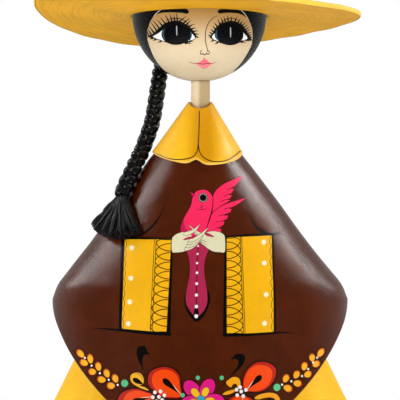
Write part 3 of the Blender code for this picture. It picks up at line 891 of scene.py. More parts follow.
def paintLeaves(picture, side):
    leaves = [(np.array(tip), np.array(end)) for tip, end in flowers[side + "Leaves"]]
    for tip, end in leaves:
        picture.add("shadeBrown", grown(drop(tip, end, brush["leaf"], "egg"), brush["leafHalo"]))
    for tip, end in leaves:
        along = end - tip
        inked(picture, "leafOrange", drop(tip + along * 0.08, end, brush["leaf"], "egg"), 0.3)
        picture.add("leafYellow", drop(tip + along * 0.12, tip + along * 0.86, brush["leafHeart"], "egg"))
    for spot in flowers[side + "Dots"]:
        picture.add("dotWhite", oval(*spot, brush["smallDot"]))
    picture.add("leafGreen", oval(*flowers[side + "Green"], brush["bigGreenDot"]))


def paintFlowers(picture):
    paintLeaves(picture, "left")
    paintLeaves(picture, "right")
    for curl in flowers["curls"]:
        picture.add("ink", blob(curl))
    for path, widths in flowers["vines"]:
        picture.add("ink", stroke(path, widths))
    for rim, *rest in flowers["petals"]:
        picture.add("shadeBrown", grown(blob(rim), brush["petalHalo"]))
    for outline, seed, width, paint in flowers["hooks"]:
        inked(picture, paint, blob(outline), brush["petalLine"])
        if seed:
            picture.add("ink", drop(*seed, width))
    picture.add("ink", stroke(flowers["hookLine"], [0.2, 0.35, 0.2]))
    for rim, orange, seed, width, side in flowers["petals"]:
        inked(picture, "petalRim", blob(rim), brush["petalLine"])
        picture.add("petalOrange", blob(orange))
        tip, end = (np.array(part) for part in seed)
        picture.add("ink", drop(tip, end, width, "club"))
        along = end - tip
        across = np.array([-along[1], along[0]]) / np.linalg.norm(along) * side
        edge = [tip + along * a + across * (b * width + 0.1) for a, b in seedShapes["club"][1:3]]
        picture.add("dotCream", stroke([tip] + edge, [0.2, 0.45, 0.2]))
    pinkPetals = [(np.array(tip), np.array(end)) for tip, end in flowers["pinkPetals"]]
    for tip, end in pinkPetals:
        inked(picture, "flowerPink", drop(tip, end, brush["pinkPetal"], "egg"), 0.6)
    for tip, end in pinkPetals:
        along = end - tip
        inked(picture, "flowerYellow", drop(tip + along * 0.1, tip + along * 0.58, brush["pinkHeart"], "egg"), 0.2)
    inked(picture, "centreBlue", oval(*flowers["pinkCentre"], brush["centre"]), 0.3)
    for spot in flowers["greens"]:
        picture.add("leafGreen", oval(*spot, brush["greenDot"]))
    for spot in flowers["whiteDots"]:
        picture.add("dotWhite", oval(*spot, brush["whiteDot"]))


def capePicture(across, along):
    picture = Picture("capeBrown", lambda spots: capeToSheet(spots, across, along))
    paintSleeves(picture)
    paintTail(picture)
    paintBird(picture)
    paintHands(picture)
    paintFlowers(picture)
    return picture.names, picture.shapes


collarLines = {
    "centre": [(-0.9, 268.5), (-1.1, 255.5), (-1.7, 241.6)],
    "left": [(-1.7, 243.4), (-2.3, 238.6), (-4.5, 234.9), (-8, 233), (-13.5, 232), (-19, 232.1), (-24.7, 233.2),
        (-30.5, 235.6), (-34.9, 237.8)],
    "right": [(-1.6, 243.4), (-0.7, 237.8), (2.2, 233.6), (8, 230.7), (14.4, 230.5), (20.1, 232), (25.4, 235.5),
        (29.7, 239.1)],
}


def collarPicture(across, along):
    def toSheet(spots):
        x, height = spots[:, 0] * mm, spots[:, 1] * mm
        shift, radius = collarCone(height)
        angle = 2 * math.pi - np.arccos(np.clip((x - shift) / radius, -0.9995, 0.9995))
        top = collarTop(angle)
        share = np.clip((top - height) / (top - collarHem(angle)), 0.01, 0.985)
        return np.stack([angle / (2 * math.pi) * across, share * along], 1)

    picture = Picture("collarYellow", toSheet)
    # a lighter yellow band along the front of the hem
    picture.names.append("collarEdge")
    around = np.linspace(0.52, 0.98, 90) * across
    lighterHemBand = [(u, along * 0.965) for u in around] + [(u, along * 0.999) for u in around[::-1]]
    picture.shapes.append((np.array(lighterHemBand), 1))
    for line in collarLines.values():
        picture.add("ink", stroke(line, [brush["collarLine"]]))
    return picture.names, picture.shapes


face = {
    "hairLeft": [(-26.4, -1.9), (-33.2, -5.6), (-37.3, -12.8), (-38.3, -18.7), (-36.8, -25.5), (-33, -34.4),
        (-26.8, -41.8), (-22.2, -44.7)],
    "hairRight": [(26.6, -41.8), (30.5, -38.1), (35.2, -31.3), (38.7, -23.8), (38.8, -14.9), (36.3, -8.3),
        (31.4, -2.6)],
    "napeLift": -62,
    "foreheadLift": 12,
    "eyes": {
        "left": {
            "almond": [(-37.9, -19.3), (-34.1, -17.8), (-30.5, -15.4), (-26, -11.7), (-22, -9.7), (-17.3, -9.3),
                (-13, -10.3), (-9.3, -12.7), (-6, -16.5), (-2.5, -21.7), (-4.8, -23.7), (-8.7, -25.2),
                (-13.5, -26.1), (-18.2, -25.8), (-23, -24.9), (-27.4, -23.3), (-31.8, -21.8)],
            "white": [(-33.8, -19.9), (-30.5, -18.2), (-26.1, -15.2), (-22.1, -13.3), (-13.4, -13.5),
                (-8.7, -15.4), (-5.6, -18.7), (-3.2, -22.1), (-6.4, -23.7), (-13.5, -25.1), (-22.2, -24.4),
                (-27.7, -22.7)],
            "iris": (-16.3, -18.7, 11.2, 7.9),
            "pupil": (-16.3, -18.7, 9.4, 7.5),
            "liner": ([(-38.2, -19.8), (-34.2, -18.6), (-30.1, -16.5), (-26, -13.7), (-22.1, -11.9),
                (-16.5, -11.6), (-11.1, -12.8), (-7.1, -15.5), (-4, -18.7), (-1.3, -22.3)], [0.3, 1.5, 2.8, 2.7, 2,
                1.6, 1.7, 2, 1.6, 0.3]),
            "crease": ([(-24, -9.5), (-20.5, -8.2), (-16.5, -8.1), (-13, -8.8), (-9.3, -11.2), (-6.4, -14.2)],
                [0.2, 0.6, 0.65, 0.6, 0.5, 0.3]),
            "creaseSkin": ([(-23.6, -10.6), (-20.1, -9.4), (-16.1, -9.3), (-12.6, -10.2), (-9.5, -12.4)],
                [0.4, 1, 1.1, 1, 0.4]),
            "shine": [(-16.3, -13.6), (-16.3, -20)],
            "lashes": [[(-37.3, -18.4), (-38.2, -15.1)], [(-35.4, -17.9), (-38, -13.6)],
                [(-33.3, -17), (-37.2, -11.9)], [(-31, -16.1), (-35.3, -9.8)], [(-29.1, -14.5), (-34, -8.4)],
                [(-26.7, -13), (-31.1, -8.1)], [(-24.4, -11.8), (-28.8, -6.6)], [(-21.9, -10.7), (-25, -5)],
                [(-19.7, -10.4), (-21.4, -4.5)], [(-17.7, -10.3), (-18.4, -4.9)], [(-15.7, -10.4), (-16.7, -3.8)],
                [(-14.3, -10.6), (-9.3, -7.1)], [(-11.4, -11.6), (-6.5, -8.6)], [(-9.3, -12.9), (-6, -10)],
                [(-7.5, -14.4), (-3.2, -12.5)], [(-6, -16.1), (-2.1, -15.1)], [(-4.6, -17.8), (-0.7, -17.3)],
                [(-3.4, -19.5), (-0.1, -19.7)], [(-2.5, -21.1), (-0.4, -22.1)], [(-34.2, -21), (-36.5, -21.3)],
                [(-31.8, -22), (-34.2, -22.7)], [(-7.2, -24.7), (-4, -24.3)], [(-10.3, -25.6), (-5.6, -26.1)],
                [(-27.8, -23.6), (-30.2, -24.4)]],
            "teals": [
                [(-27, -17.7), (-26.1, -15.8), (-24.8, -14.4), (-25.7, -17.6), (-25.3, -20.5), (-24.5, -22.3),
                    (-26.1, -21.2), (-27, -19.4)],
                [(-6.8, -15.5), (-5.6, -18), (-5.3, -20.5), (-6.2, -23), (-7.5, -23.9), (-6.4, -21.3),
                    (-6.2, -18.3)],
            ],
        },
        "right": {
            "almond": [(7.9, -21.7), (10.2, -18.3), (12.4, -14.8), (15.9, -11.5), (19.8, -9.5), (23.8, -8.9),
                (27.8, -9.7), (31.4, -12), (34.3, -15.4), (38.5, -21.6), (34, -22), (30.7, -23.8), (25.9, -25.5),
                (21.1, -26.1), (16.4, -25.7), (11.6, -24.2)],
            "white": [(9.3, -21.9), (11.6, -18.2), (14.4, -15.3), (17.9, -13.5), (25.8, -12.9), (29.8, -14.5),
                (32.3, -17.1), (35.2, -20.9), (30.7, -22.8), (25.9, -24.7), (21.1, -25.2), (14.8, -24.5)],
            "iris": (21.6, -18.7, 10.6, 7.9),
            "pupil": (21.9, -18.6, 9.2, 7.5),
            "liner": ([(7.1, -22.1), (9.7, -19.6), (12, -16), (15.5, -12.7), (19.8, -11.3), (24.6, -11.2),
                (28.6, -12.6), (31.8, -15), (35.1, -18.5), (39.1, -21.9)], [0.3, 1.2, 1.6, 1.6, 1.7, 2, 2.6, 2.9,
                1.9, 0.3]),
            "crease": ([(13.6, -13.3), (16.7, -10.4), (20.2, -8.2), (23.8, -7.7), (27.4, -8.5), (29.9, -10.2)],
                [0.2, 0.45, 0.6, 0.6, 0.5, 0.2]),
            "creaseSkin": ([(16.7, -11.4), (19.8, -9.8), (23.8, -9.1), (27.2, -9.8), (29.4, -11)],
                [0.3, 0.9, 1, 0.9, 0.3]),
            "shine": [(22.6, -14.4), (22.7, -20.9)],
            "lashes": [[(8.3, -20.9), (6, -20)], [(9.3, -19.4), (6.9, -18)], [(10.2, -17.9), (8, -15.9)],
                [(11.5, -16), (9.3, -13.6)], [(13, -14.3), (10.3, -11.2)], [(14.9, -12.7), (13.2, -8.8)],
                [(16.9, -11.4), (15.5, -7.3)], [(18.8, -10.6), (17.5, -6.8)], [(20.9, -10), (20.2, -5.8)],
                [(23, -9.9), (23.2, -6.4)], [(25.8, -10), (27.5, -6.2)], [(27.8, -10.8), (29.9, -7.6)],
                [(29.4, -11.8), (32, -8.8)], [(30.8, -13), (33.8, -9.8)], [(31.9, -14.3), (35.3, -11.5)],
                [(32.9, -15.5), (36.8, -12.9)], [(33.9, -16.6), (37.6, -14.4)], [(34.9, -17.9), (38.3, -16.1)],
                [(35.9, -19), (38.7, -17.7)], [(36.9, -20), (38.9, -19.3)], [(10.1, -23.9), (8.3, -24.7)],
                [(13.2, -25.3), (11.3, -26.3)], [(30.7, -23.8), (34, -23.8)], [(34, -22.3), (37.3, -22.5)]],
            "teals": [
                [(11, -20.5), (11.8, -18.1), (13.3, -15.9), (12.9, -18.2), (13, -21.6), (14, -23.4), (12.3, -22.9)],
                [(28.4, -15.9), (29.8, -17.3), (30, -19.9), (28.7, -22.8), (27.5, -23.5), (28.6, -20.4),
                    (28.6, -17.8)],
            ],
        },
    },
    "brows": [
        ([(-32.6, -4.7), (-29.2, -3), (-24.4, -2), (-18.1, -2.1), (-12.6, -2.6), (-8.7, -3.7)],
            [0.4, 2.4, 3.4, 3.6, 3.8, 3.2]),
        ([(14.3, -3.5), (19.4, -2.5), (25, -2.4), (29.7, -3), (34.2, -5.5), (37.5, -8.2)],
            [2.9, 3.2, 3, 2.6, 1.6, 0.3]),
    ],
    "hairWisps": [
        ([(29.5, -1), (32, -2.9), (34.2, -5.4), (36.4, -9)], [0.2, 0.5, 0.5, 0.15]),
        ([(-27.3, -1.3), (-29.5, -2.4), (-31.6, -4), (-33.4, -5.9)], [0.2, 0.5, 0.45, 0.15]),
    ],
    "nose": [
        ([(13.5, -6.4), (10.4, -7.7), (7.3, -10.8), (5.2, -15), (4.4, -19.9), (4.6, -25.1), (5.8, -29.5),
            (5.9, -31.5)], [0.2, 0.45, 0.5, 0.6, 0.6, 0.6, 0.6, 0.5]),
        ([(2.1, -30.3), (1.1, -30.9), (0.7, -32), (1, -33), (1.8, -33.3), (2.6, -32.5)],
            [0.35, 0.5, 0.6, 0.55, 0.5]),
        ([(2.6, -32.3), (3, -33.1), (3.8, -33.5), (4.6, -33.2), (5.2, -32.2)], [0.5, 0.6, 0.6, 0.5]),
        ([(5.2, -32.2), (5.7, -33), (6.5, -33.2), (7.2, -32.6), (7.3, -31.7), (6.6, -30.8), (5.9, -30.4)],
            [0.5, 0.6, 0.55, 0.5, 0.35]),
    ],
    "lips": [(-2.3, -39.4), (-0.8, -38.8), (0.8, -38.3), (1.6, -37.5), (2.3, -36.8), (3, -36.8), (3.8, -35.8),
        (4.6, -36.8), (5.4, -36.8), (6.1, -37.6), (6.9, -38.4), (8.3, -38.9), (9.1, -39.3), (8.4, -40.3),
        (7.3, -41.3), (5.9, -42.1), (4.5, -42.6), (2.9, -42.6), (1.3, -42.2), (0, -41.5), (-1.2, -40.5)],
    # the upper lip's lower edge; its top is the lips' first points
    "upperLip": [(7, -39.3), (5.4, -39.2), (3.8, -39.5), (2.3, -39.3), (0.3, -39.4)],
    "mouth": ([(-8.2, -38.2), (-5.7, -38.9), (-2.1, -39.5), (0.7, -39.6), (2.9, -39.8), (5.4, -39.4), (9, -39.3),
        (12.6, -38.2)], [0.2, 0.4, 0.5, 0.6, 0.6, 0.5, 0.4, 0.2]),
    "lipDots": [(3.5, -35.9), (3.1, -42.5)],
}


def headPicture(radius):
    def fromTurns(turns):
        turns = np.radians(np.asarray(turns, float))
        return np.stack([(turns[:, 0] - math.pi / 2) * radius, (turns[:, 1] + math.pi / 2) * radius], 1)

    def toSheet(spots):
        x, z = spots[:, 0], spots[:, 1]
        y = -np.sqrt(np.maximum(radius ** 2 - x * x - z * z, 1.0))
        turn = np.arctan2(y, x) % (2 * math.pi)
        lift = np.arcsin(np.clip(z / radius, -0.999, 0.999))
        return np.stack([(turn - math.pi / 2) * radius, (lift + math.pi / 2) * radius], 1)

    picture = Picture("hairBlack", toSheet)
    left, right = splinePoints(face["hairLeft"]), splinePoints(face["hairRight"])
    nape, brow = face["napeLift"], face["foreheadLift"]
    edge = fromTurns([(90.3, -89.7)] + [(turn, nape) for turn in range(91, 180, 4)])
    low = fromTurns([(turn, nape) for turn in range(370, 449, 4)] + [(449.7, nape), (449.7, -89.7)])
    top = fromTurns([(240, brow), (270, brow), (300, brow)])
    outline = np.concatenate([edge, toSheet(left)[::-1], top, toSheet(right)[::-1], low])
    picture.names.append("faceCream")
    picture.shapes.append((outline, 1))
    for eye in face["eyes"].values():
        picture.add("ink", blob(eye["almond"]))
        picture.add("eyeWhite", blob(eye["white"]))
        picture.add("ink", oval(*eye["iris"], 40))
        for teal in eye["teals"]:
            picture.add("irisTeal", blob(teal))
        picture.add("pupilBlack", oval(*eye["pupil"], 40))
        picture.add("ink", stroke(*eye["liner"]))
        picture.add("faceCream", stroke(*eye["creaseSkin"]))
        picture.add("ink", stroke(*eye["crease"]))
        for root, tip in eye["lashes"]:
            root, tip = np.array(root), np.array(tip)
            bend = (root + tip) / 2 + np.array([0, brush["lashBend"]])
            picture.add("ink", stroke([root, bend, tip], brush["lash"]))
        picture.add("shineGrey", stroke(eye["shine"], brush["shine"]))
    for paint, part in (("ink", "brows"), ("shadeBrown", "nose"), ("wispGrey", "hairWisps")):
        for path, widths in face[part]:
            picture.add(paint, stroke(path, widths))
    picture.add("lipPink", blob(face["lips"]))
    picture.add("lipRose", blob(face["lips"][:13] + face["upperLip"]))
    picture.add("lipLine", stroke(*face["mouth"]))
    for spot in face["lipDots"]:
        picture.add("lipLine", oval(*spot, brush["lipDot"]))
    return picture.names, picture.shapes


cape = {
    "across": 480.0,
    "along": 190.0,
    "lumps": 0.00022,
    "wave": 0.034,
    "backStep": 5.0,
}


def makeCape(colors):
    across, along = cape["across"], cape["along"]
    wall, rounding = lady["capeWall"], lady["hemRound"]

    def place(u, v, inset=0.0, lift=rounding, lumps=cape["lumps"]):
        angle = np.asarray(u, float) / across * 2 * math.pi
        hem = capeHem(angle) + lift
        height = lady["capeTop"] + (hem - lady["capeTop"]) * np.asarray(v, float) / along
        points = capePlace(angle, height, inset)
        swell = unevenness(points, cape["wave"], 3)[..., None] * lumps
        points[..., :2] += swell * np.stack([np.cos(angle), np.sin(angle)], -1)
        return points

    columns = np.concatenate([np.arange(0, across / 2, cape["backStep"]), np.linspace(across / 2, across, 81)])
    rows = np.linspace(0, along, 62)
    names, shapes = capePicture(across, along)
    skin = paintedSkin(columns, rows, shapes, place)
    bmesh.ops.remove_doubles(skin, verts=skin.verts[:], dist=1e-6)

    def ring(inset, lift, share=1.0):
        return lambda u: Vector(place(np.array([u]), np.array([along * share]), inset, lift, 0.0)[0])

    hemSteps = [ring(rounding * 0.3, rounding * 0.3), ring(rounding, 0.0), ring(wall - rounding, 0.0),
                ring(wall - rounding * 0.3, rounding * 0.3), ring(wall, rounding)]
    foldUnder(skin, along, hemSteps, 0, [ring(wall, rounding, share) for share in (0.9, 0.7, 0.45, 0.2, 0.0)])
    finishPiece("paintedCape", skin, [colors[name] for name in names], "cape")


collar = {
    "across": 190.0,
    "along": 40.0,
    "lumps": 0.0001,
    "wave": 0.02,
    "notchTurn": 6.5,
}


def capeReach(angle, height, start):
    side, front = capeSide(height), capeFront(height)
    offset = start - capeCenter(height)
    cos, sin = np.cos(angle), np.sin(angle)
    a = (cos / side) ** 2 + (sin / front) ** 2
    b = 2 * offset * cos / side ** 2
    c = (offset / side) ** 2 - 1
    return (-b + np.sqrt(b * b - 4 * a * c)) / (2 * a)


def collarHem(angle):
    sin = np.sin(angle)
    fall = (lady["collarFrontDrop"] + lady["collarSkew"] * np.cos(angle)) * np.abs(sin) ** 1.5
    turn = (np.degrees(angle) - 270.0) / collar["notchTurn"]
    return lady["collarSide"] - fall + lady["collarNotch"] * np.exp(-turn * turn)


def collarTop(angle):
    return lady["collarTop"] - lady["collarDip"] * np.maximum(0.0, -np.sin(angle)) ** 2


# The middle and the outer radius of the collar's cone at a height.
def collarCone(height):
    fall = lady["collarTop"] - height
    shift = lady["collarShift"] - lady["collarLean"] * fall
    return shift, lady["neckRadius"] + lady["collarEase"] + lady["collarSlope"] * fall


def collarPlace(angle, share, inset=0.0, lumps=0.0):
    top = collarTop(angle)
    height = top + (collarHem(angle) - top) * share
    shift, cone = collarCone(height)
    inner = np.maximum(cone - lady["collarWall"], lady["neckRadius"] + lady["gap"])
    clear = capeReach(angle, np.minimum(height, lady["capeTop"]), shift) + 2 * lady["gap"]
    inner = np.where(height < lady["capeTop"] + lady["collarEase"], np.maximum(inner, clear), inner)
    radius = inner + lady["collarWall"] - inset
    points = np.stack([shift + radius * np.cos(angle), radius * np.sin(angle), height], -1)
    swell = unevenness(points, collar["wave"], 5)[..., None] * lumps
    points[..., :2] += swell * np.stack([np.cos(angle), np.sin(angle)], -1)
    return points


def makeCollar(colors):
    across, along = collar["across"], collar["along"]

    def place(u, v):
        return collarPlace(np.asarray(u) / across * 2 * math.pi, np.asarray(v) / along, 0.0, collar["lumps"])

    names, shapes = collarPicture(across, along)
    skin = paintedSkin(np.linspace(0, across, 97), np.linspace(0, along, 22), shapes, place)
    bmesh.ops.remove_doubles(skin, verts=skin.verts[:], dist=1e-6)

    def ring(inset, share):
        return lambda u: Vector(collarPlace(np.array([u / across * 2 * math.pi]), np.array([share]), inset)[0])

    wall = lady["collarWall"]
    hemSteps = [ring(wall * 0.12, 1.006), ring(wall * 0.88, 1.006), ring(wall, 0.995)]
    foldUnder(skin, along, hemSteps, 1, [ring(wall, share) for share in (0.75, 0.5, 0.25, 0.0)])
    painted = finishPiece("paintedCollar", skin, [colors[name] for name in names], "collar")
    # no yellow of the collar or the hat is reflected in the black yarn, as in the photo
    painted.visible_glossy = False


def makeHead(colors):
    radius = lady["headRadius"] / mm
    across, along = 2 * math.pi * radius, math.pi * radius
    middle = np.array([lady["headShift"], 0, lady["headHeight"]])

    def place(u, v):
        turn = np.asarray(u) / radius + math.pi / 2
        lift = np.asarray(v) / radius - math.pi / 2
        flat = np.cos(lift)
        way = np.stack([flat * np.cos(turn), flat * np.sin(turn), np.sin(lift)], -1)
        return middle + way * radius * mm

    names, shapes = headPicture(radius)
    skin = paintedSkin(np.linspace(0, across, 121), np.linspace(0, along, 61), shapes, place)
    keep = skin.verts.layers.float_vector["skinNormal"]
    for vert in skin.verts:
        vert[keep] = (vert.co - Vector(middle)).normalized()
    bmesh.ops.remove_doubles(skin, verts=skin.verts[:], dist=1e-6)
    bmesh.ops.dissolve_degenerate(skin, edges=skin.edges[:], dist=1e-7)
    finishPiece("paintedHead", skin, [colors[name] for name in names], "head")


hat = {
    "brimRadius": 0.1222,
    "brimShift": -0.0024,
    "brimEdge": 0.0036,
    "brimLift": -0.0022,
    "brimSeat": -0.0016,
    "brimWaves": [(-0.0043, -0.0073), (0.0034, 0.0044)],
    "crownWall": 0.0036,
    "crownEase": 0.0004,
    "crownFillet": 0.006,
    "crownStart": 11.0,
    "rimBend": 0.0009,
    # width of the darker band under the rim, a painted shade in the crease
    "creaseShadeWidth": 0.0006,
    "paints": ["hatYellow", "hatRim", "hatLine"],
    "lumps": 0.00025,
    "wave": 0.04,
    "steps": 144,
}


def arc(radius, start, end, steps=20):
    turns = np.radians(np.linspace(start, end, steps))
    return [(radius * math.cos(turn), radius * math.sin(turn)) for turn in turns]


# The hat's cut from the crown's inner top, under the brim, around the rim and up to the outer top.
def hatProfile(seat):
    outer = seat + hat["crownWall"]
    low, edge, rim = hat["brimSeat"], hat["brimEdge"], hat["brimRadius"]
    # line is the width of the painted crease shade under the rim
    bend, line = hat["rimBend"], hat["creaseShadeWidth"]
    profile = [(radius, low) for radius in np.linspace(seat, rim - bend - line, 30)] + [(rim - bend, low)]
    for middle, turns in ((low + bend, (-60, -30, 0)), (low + edge - bend, (0, 30, 60))):
        for turn in turns:
            angle = math.radians(turn)
            profile.append((rim - bend + bend * math.cos(angle), middle + bend * math.sin(angle)))
    foot = outer + hat["crownFillet"]
    profile += [(radius, low + edge) for radius in np.linspace(rim - bend, foot, 28)]
    crown = arc(outer, hat["crownStart"], 90)
    start, corner, end = Vector((foot, low + edge)), Vector((outer + 0.0004, low + edge)), Vector(crown[0])
    for t in (0.2, 0.4, 0.6, 0.8):
        profile.append(tuple(start * (1 - t) ** 2 + corner * (2 * t * (1 - t)) + end * t * t))
    return arc(seat, 90, 0)[:-1] + profile + crown


def makeHat(colors):
    seat = lady["headRadius"] + lady["gap"] + hat["crownEase"]
    shape = spinUp(hatProfile(seat), hat["steps"])
    rim, edge = hat["brimRadius"] - hat["rimBend"], hat["brimSeat"] + hat["brimEdge"] / 2
    # the rim's outer faces take a lighter paint, a painted highlight; a thin band of the underside at the rim takes
    # a darker paint, a painted shade in the crease
    for face in shape.faces:
        radius = sum(math.hypot(vert.co.x, vert.co.y) for vert in face.verts) / len(face.verts)
        height = face.calc_center_median().z
        if radius > rim + 0.00001:
            face.material_index = 1
        elif radius > rim - hat["creaseShadeWidth"] and height < edge:
            face.material_index = 2
    points = np.array([tuple(vert.co) for vert in shape.verts])
    lumps = unevenness(points, hat["wave"], 8) * hat["lumps"]
    for vert, lump in zip(shape.verts, lumps):
        radius = math.hypot(vert.co.x, vert.co.y)
        share = max(0.0, (radius - seat) / (hat["brimRadius"] - seat))
        angle = math.atan2(vert.co.y, vert.co.x)
        wave = sum(a * math.cos(i * angle) + b * math.sin(i * angle)
                   for i, (a, b) in enumerate(hat["brimWaves"], 1))
        inside = vert.co.length < seat + 1e-5 or (radius < seat + 1e-5 and vert.co.z < 0.001)
        vert.co.z += (hat["brimLift"] - hat["brimSeat"] + wave) * share ** 1.15
        if not inside:
            vert.co.z += lump * (0.4 + 0.6 * min(share * 3, 1.0))
        vert.co.x += lady["headShift"] + (hat["brimShift"] - lady["headShift"]) * share
        vert.co.z += lady["headHeight"]
    finishPiece("paintedHat", shape, [colors[name] for name in hat["paints"]], "hat").visible_glossy = False


# An open profile of (radius, height) spun around the upright axis.
def spinUp(profile, steps):
    shape = bmesh.new()
    verts = [shape.verts.new((radius, 0, height)) for radius, height in profile]
    for pair in zip(verts, verts[1:]):
        shape.edges.new(pair)
    bmesh.ops.spin(shape, geom=shape.verts[:] + shape.edges[:], cent=(0, 0, 0), axis=(0, 0, 1),
                   angle=2 * math.pi, steps=steps, use_merge=True)
    bmesh.ops.remove_doubles(shape, verts=shape.verts[:], dist=1e-6)
    bmesh.ops.recalc_face_normals(shape, faces=shape.faces[:])
    for face in shape.faces:
        face.smooth = True
    return shape


skirt = {
    "edge": 0.0015,
    "rows": 70,
    "steps": 160,
    "lumps": 0.0002,
    "wave": 0.05,
}


def makeSkirt(colors):
    edge, tall = skirt["edge"], lady["skirtHeight"]
    profile = [(0.0, 0.0), (0.06, 0.0), (skirtAt(0) - edge, 0.0), (skirtAt(edge * 0.3) - edge * 0.28, edge * 0.3)]
    profile += [(skirtAt(height), height) for height in np.linspace(edge, tall, skirt["rows"])]
    profile.append((0.0, tall))
    shape = spinUp(profile, skirt["steps"])
    points = np.array([tuple(vert.co) for vert in shape.verts])
    for vert, lump in zip(shape.verts, unevenness(points, skirt["wave"], 11) * skirt["lumps"]):
        if edge * 0.5 < vert.co.z < tall - 0.001:
            away = Vector((vert.co.x, vert.co.y, 0)).normalized()
            vert.co -= away * (skirt["lumps"] * 1.2 - lump) * 0.5
    finishPiece("paintedSkirt", shape, [colors["skirtYellow"]], "skirt")


def makeNeck(colors):
    seat = lady["headRadius"] + lady["gap"]
    radius, foot = lady["neckRadius"], lady["skirtHeight"] + lady["gap"]

    def under(away):
        return lady["headHeight"] - math.sqrt(seat ** 2 - (away + 0.001) ** 2)

    profile = [(0.0, foot), (radius, foot)]
    profile += [(radius, height) for height in np.linspace(foot + 0.001, under(radius), 16)]
    profile += [(radius * share, under(radius * share)) for share in (0.8, 0.6, 0.4, 0.2)]
    profile.append((0.0, lady["headHeight"] - seat))
    finishPiece("paintedNeck", spinUp(profile, 48), [colors["neckCream"]], "neck")


braid = {
    "strandRadius": 0.00345,
    "strandSwell": 0.1,
    "swing": 0.0031,
    "depth": 0.0024,
    "pitch": 0.0255,
    "napePath": [(-0.537, 0.806, -0.589), (-0.589, 0.577, -0.768), (-0.625, 0.36, -1.04),
                 (-0.66, 0.24, -1.30), (-0.715, 0.125, -1.62)],
    "shoulderPath": [(0.2012, 0.0), (0.2462, 11.0), (0.2943, 18.5), (0.3326, 22.5), (0.3791, 25.5),
                     (0.4249, 28.5), (0.4497, 30.5)],
    "lift": 0.0069,
    "knotRadius": 0.0064,
    "tieRadius": 0.0011,
    "tieInset": 0.0012,
    # along the plait, and how wide
    "ties": [(-0.0016, 0.86), (0.0, 0.92), (0.0016, 0.86)],
    "lockRadius": 0.0037,
    # turn, drop, thickness and waist of each lock's end
    "tasselEnds": [(5.0, 0.608, 0.9, 0.4), (23.0, 0.642, 0.95, 0.0), (34.0, 0.657, 1.0, 0.0),
                   (42.5, 0.664, 1.0, 0.0), (50.0, 0.657, 0.97, 0.0), (56.0, 0.634, 0.89, 0.0)],
    "yarnRadius": 0.00085,
    "sides": {"strand": 20, "tie": 8, "lock": 16, "yarn": 6},
    "steps": {"strand": 0.0011, "lock": 0.003},
    # the strands start and end thinner: share at the end, and more with each step
    "strandEnds": ((0.55, 0.12), (0.5, 0.1)),
    # a lock leaves the knot this fast, and is waisted here for this share of its length
    "lockCurve": 0.85,
    "lockLeave": 3.2,
    "waistPlace": 0.6,
    "waistLength": 0.08,
    # the yarns of a lock: share of its radius, first turn and step in degrees
    "yarnRings": [(0.55, 0, 60), (0.92, 15, 24)],
    "yarnTurn": 8,
    "yarnShortest": 0.96,
    "yarnTwist": 0.25,
    "yarnSpread": 0.05,
}


def capeSpot(degrees, drop, away):
    angle = math.radians(degrees)
    height = lady["capeTop"] - lady["capeSideDrop"] * drop
    step = 0.002
    around = capePlace(angle + 0.01, height) - capePlace(angle - 0.01, height)
    up = capePlace(angle, height + step) - capePlace(angle, height - step)
    return Vector(capePlace(angle, height)) + Vector(np.cross(around, up)).normalized() * away


def braidPath():
    center = Vector((lady["headShift"], 0, lady["headHeight"]))
    points = [center + Vector(share) * lady["headRadius"] for share in braid["napePath"]]
    spare = lady["collarWall"] + lady["gap"]
    for drop, turn in braid["shoulderPath"]:
        points.append(capeSpot(180.0 + turn, drop, braid["lift"] + spare))
        spare *= 0.3
    return points


def evenPoints(points, spacing, step=0.0008):
    path = splinePoints([tuple(point) for point in points], False, step)
    lengths = np.concatenate([[0], np.cumsum(np.linalg.norm(np.diff(path, axis=0), axis=1))])
    count = max(2, round(lengths[-1] / spacing))
    wanted = np.linspace(0, lengths[-1], count + 1)
    return [Vector([np.interp(w, lengths, path[:, k]) for k in range(3)]) for w in wanted], lengths[-1]


def framesOf(path):
    frames = []
    for i in range(len(path)):
        along = (path[min(i + 1, len(path) - 1)] - path[max(i - 1, 0)]).normalized()
        wide = along.cross(Vector((0, 1, 0))).normalized()
        frames.append((wide, wide.cross(along).normalized()))
    return frames


# A tube along a path: one ring of the tube is carried from point to point. The last point of a loop is its first.
def sweep(shape, path, radii, sides, frames=None):
    spot = shape.verts.layers.float_vector.get("tube") or shape.verts.layers.float_vector.new("tube")
    verts = made = bmesh.ops.create_circle(shape, cap_ends=False, radius=1.0, segments=sides)["verts"]
    edges = firstEdges = list({edge for vert in verts for edge in vert.link_edges})
    for j, vert in enumerate(verts):
        vert[spot] = (j / sides, 0, 0)
    length = 0.0
    for i, (point, radius, (wide, deep)) in enumerate(zip(path, radii, frames or framesOf(path))):
        if i:
            length += (point - path[i - 1]).length
            verts, edges, _ = extruded(shape, edges)
            made = made + verts
        for vert in verts:
            angle = vert[spot][0] * 2 * math.pi
            vert.co = point + (wide * math.cos(angle) + deep * math.sin(angle)) * radius
            vert[spot] = (vert[spot][0], length, 0)
    if frames:
        bmesh.ops.remove_doubles(shape, verts=made, dist=1e-6)
    else:
        for rim in (firstEdges, edges):
            bmesh.ops.holes_fill(shape, edges=rim, sides=0)


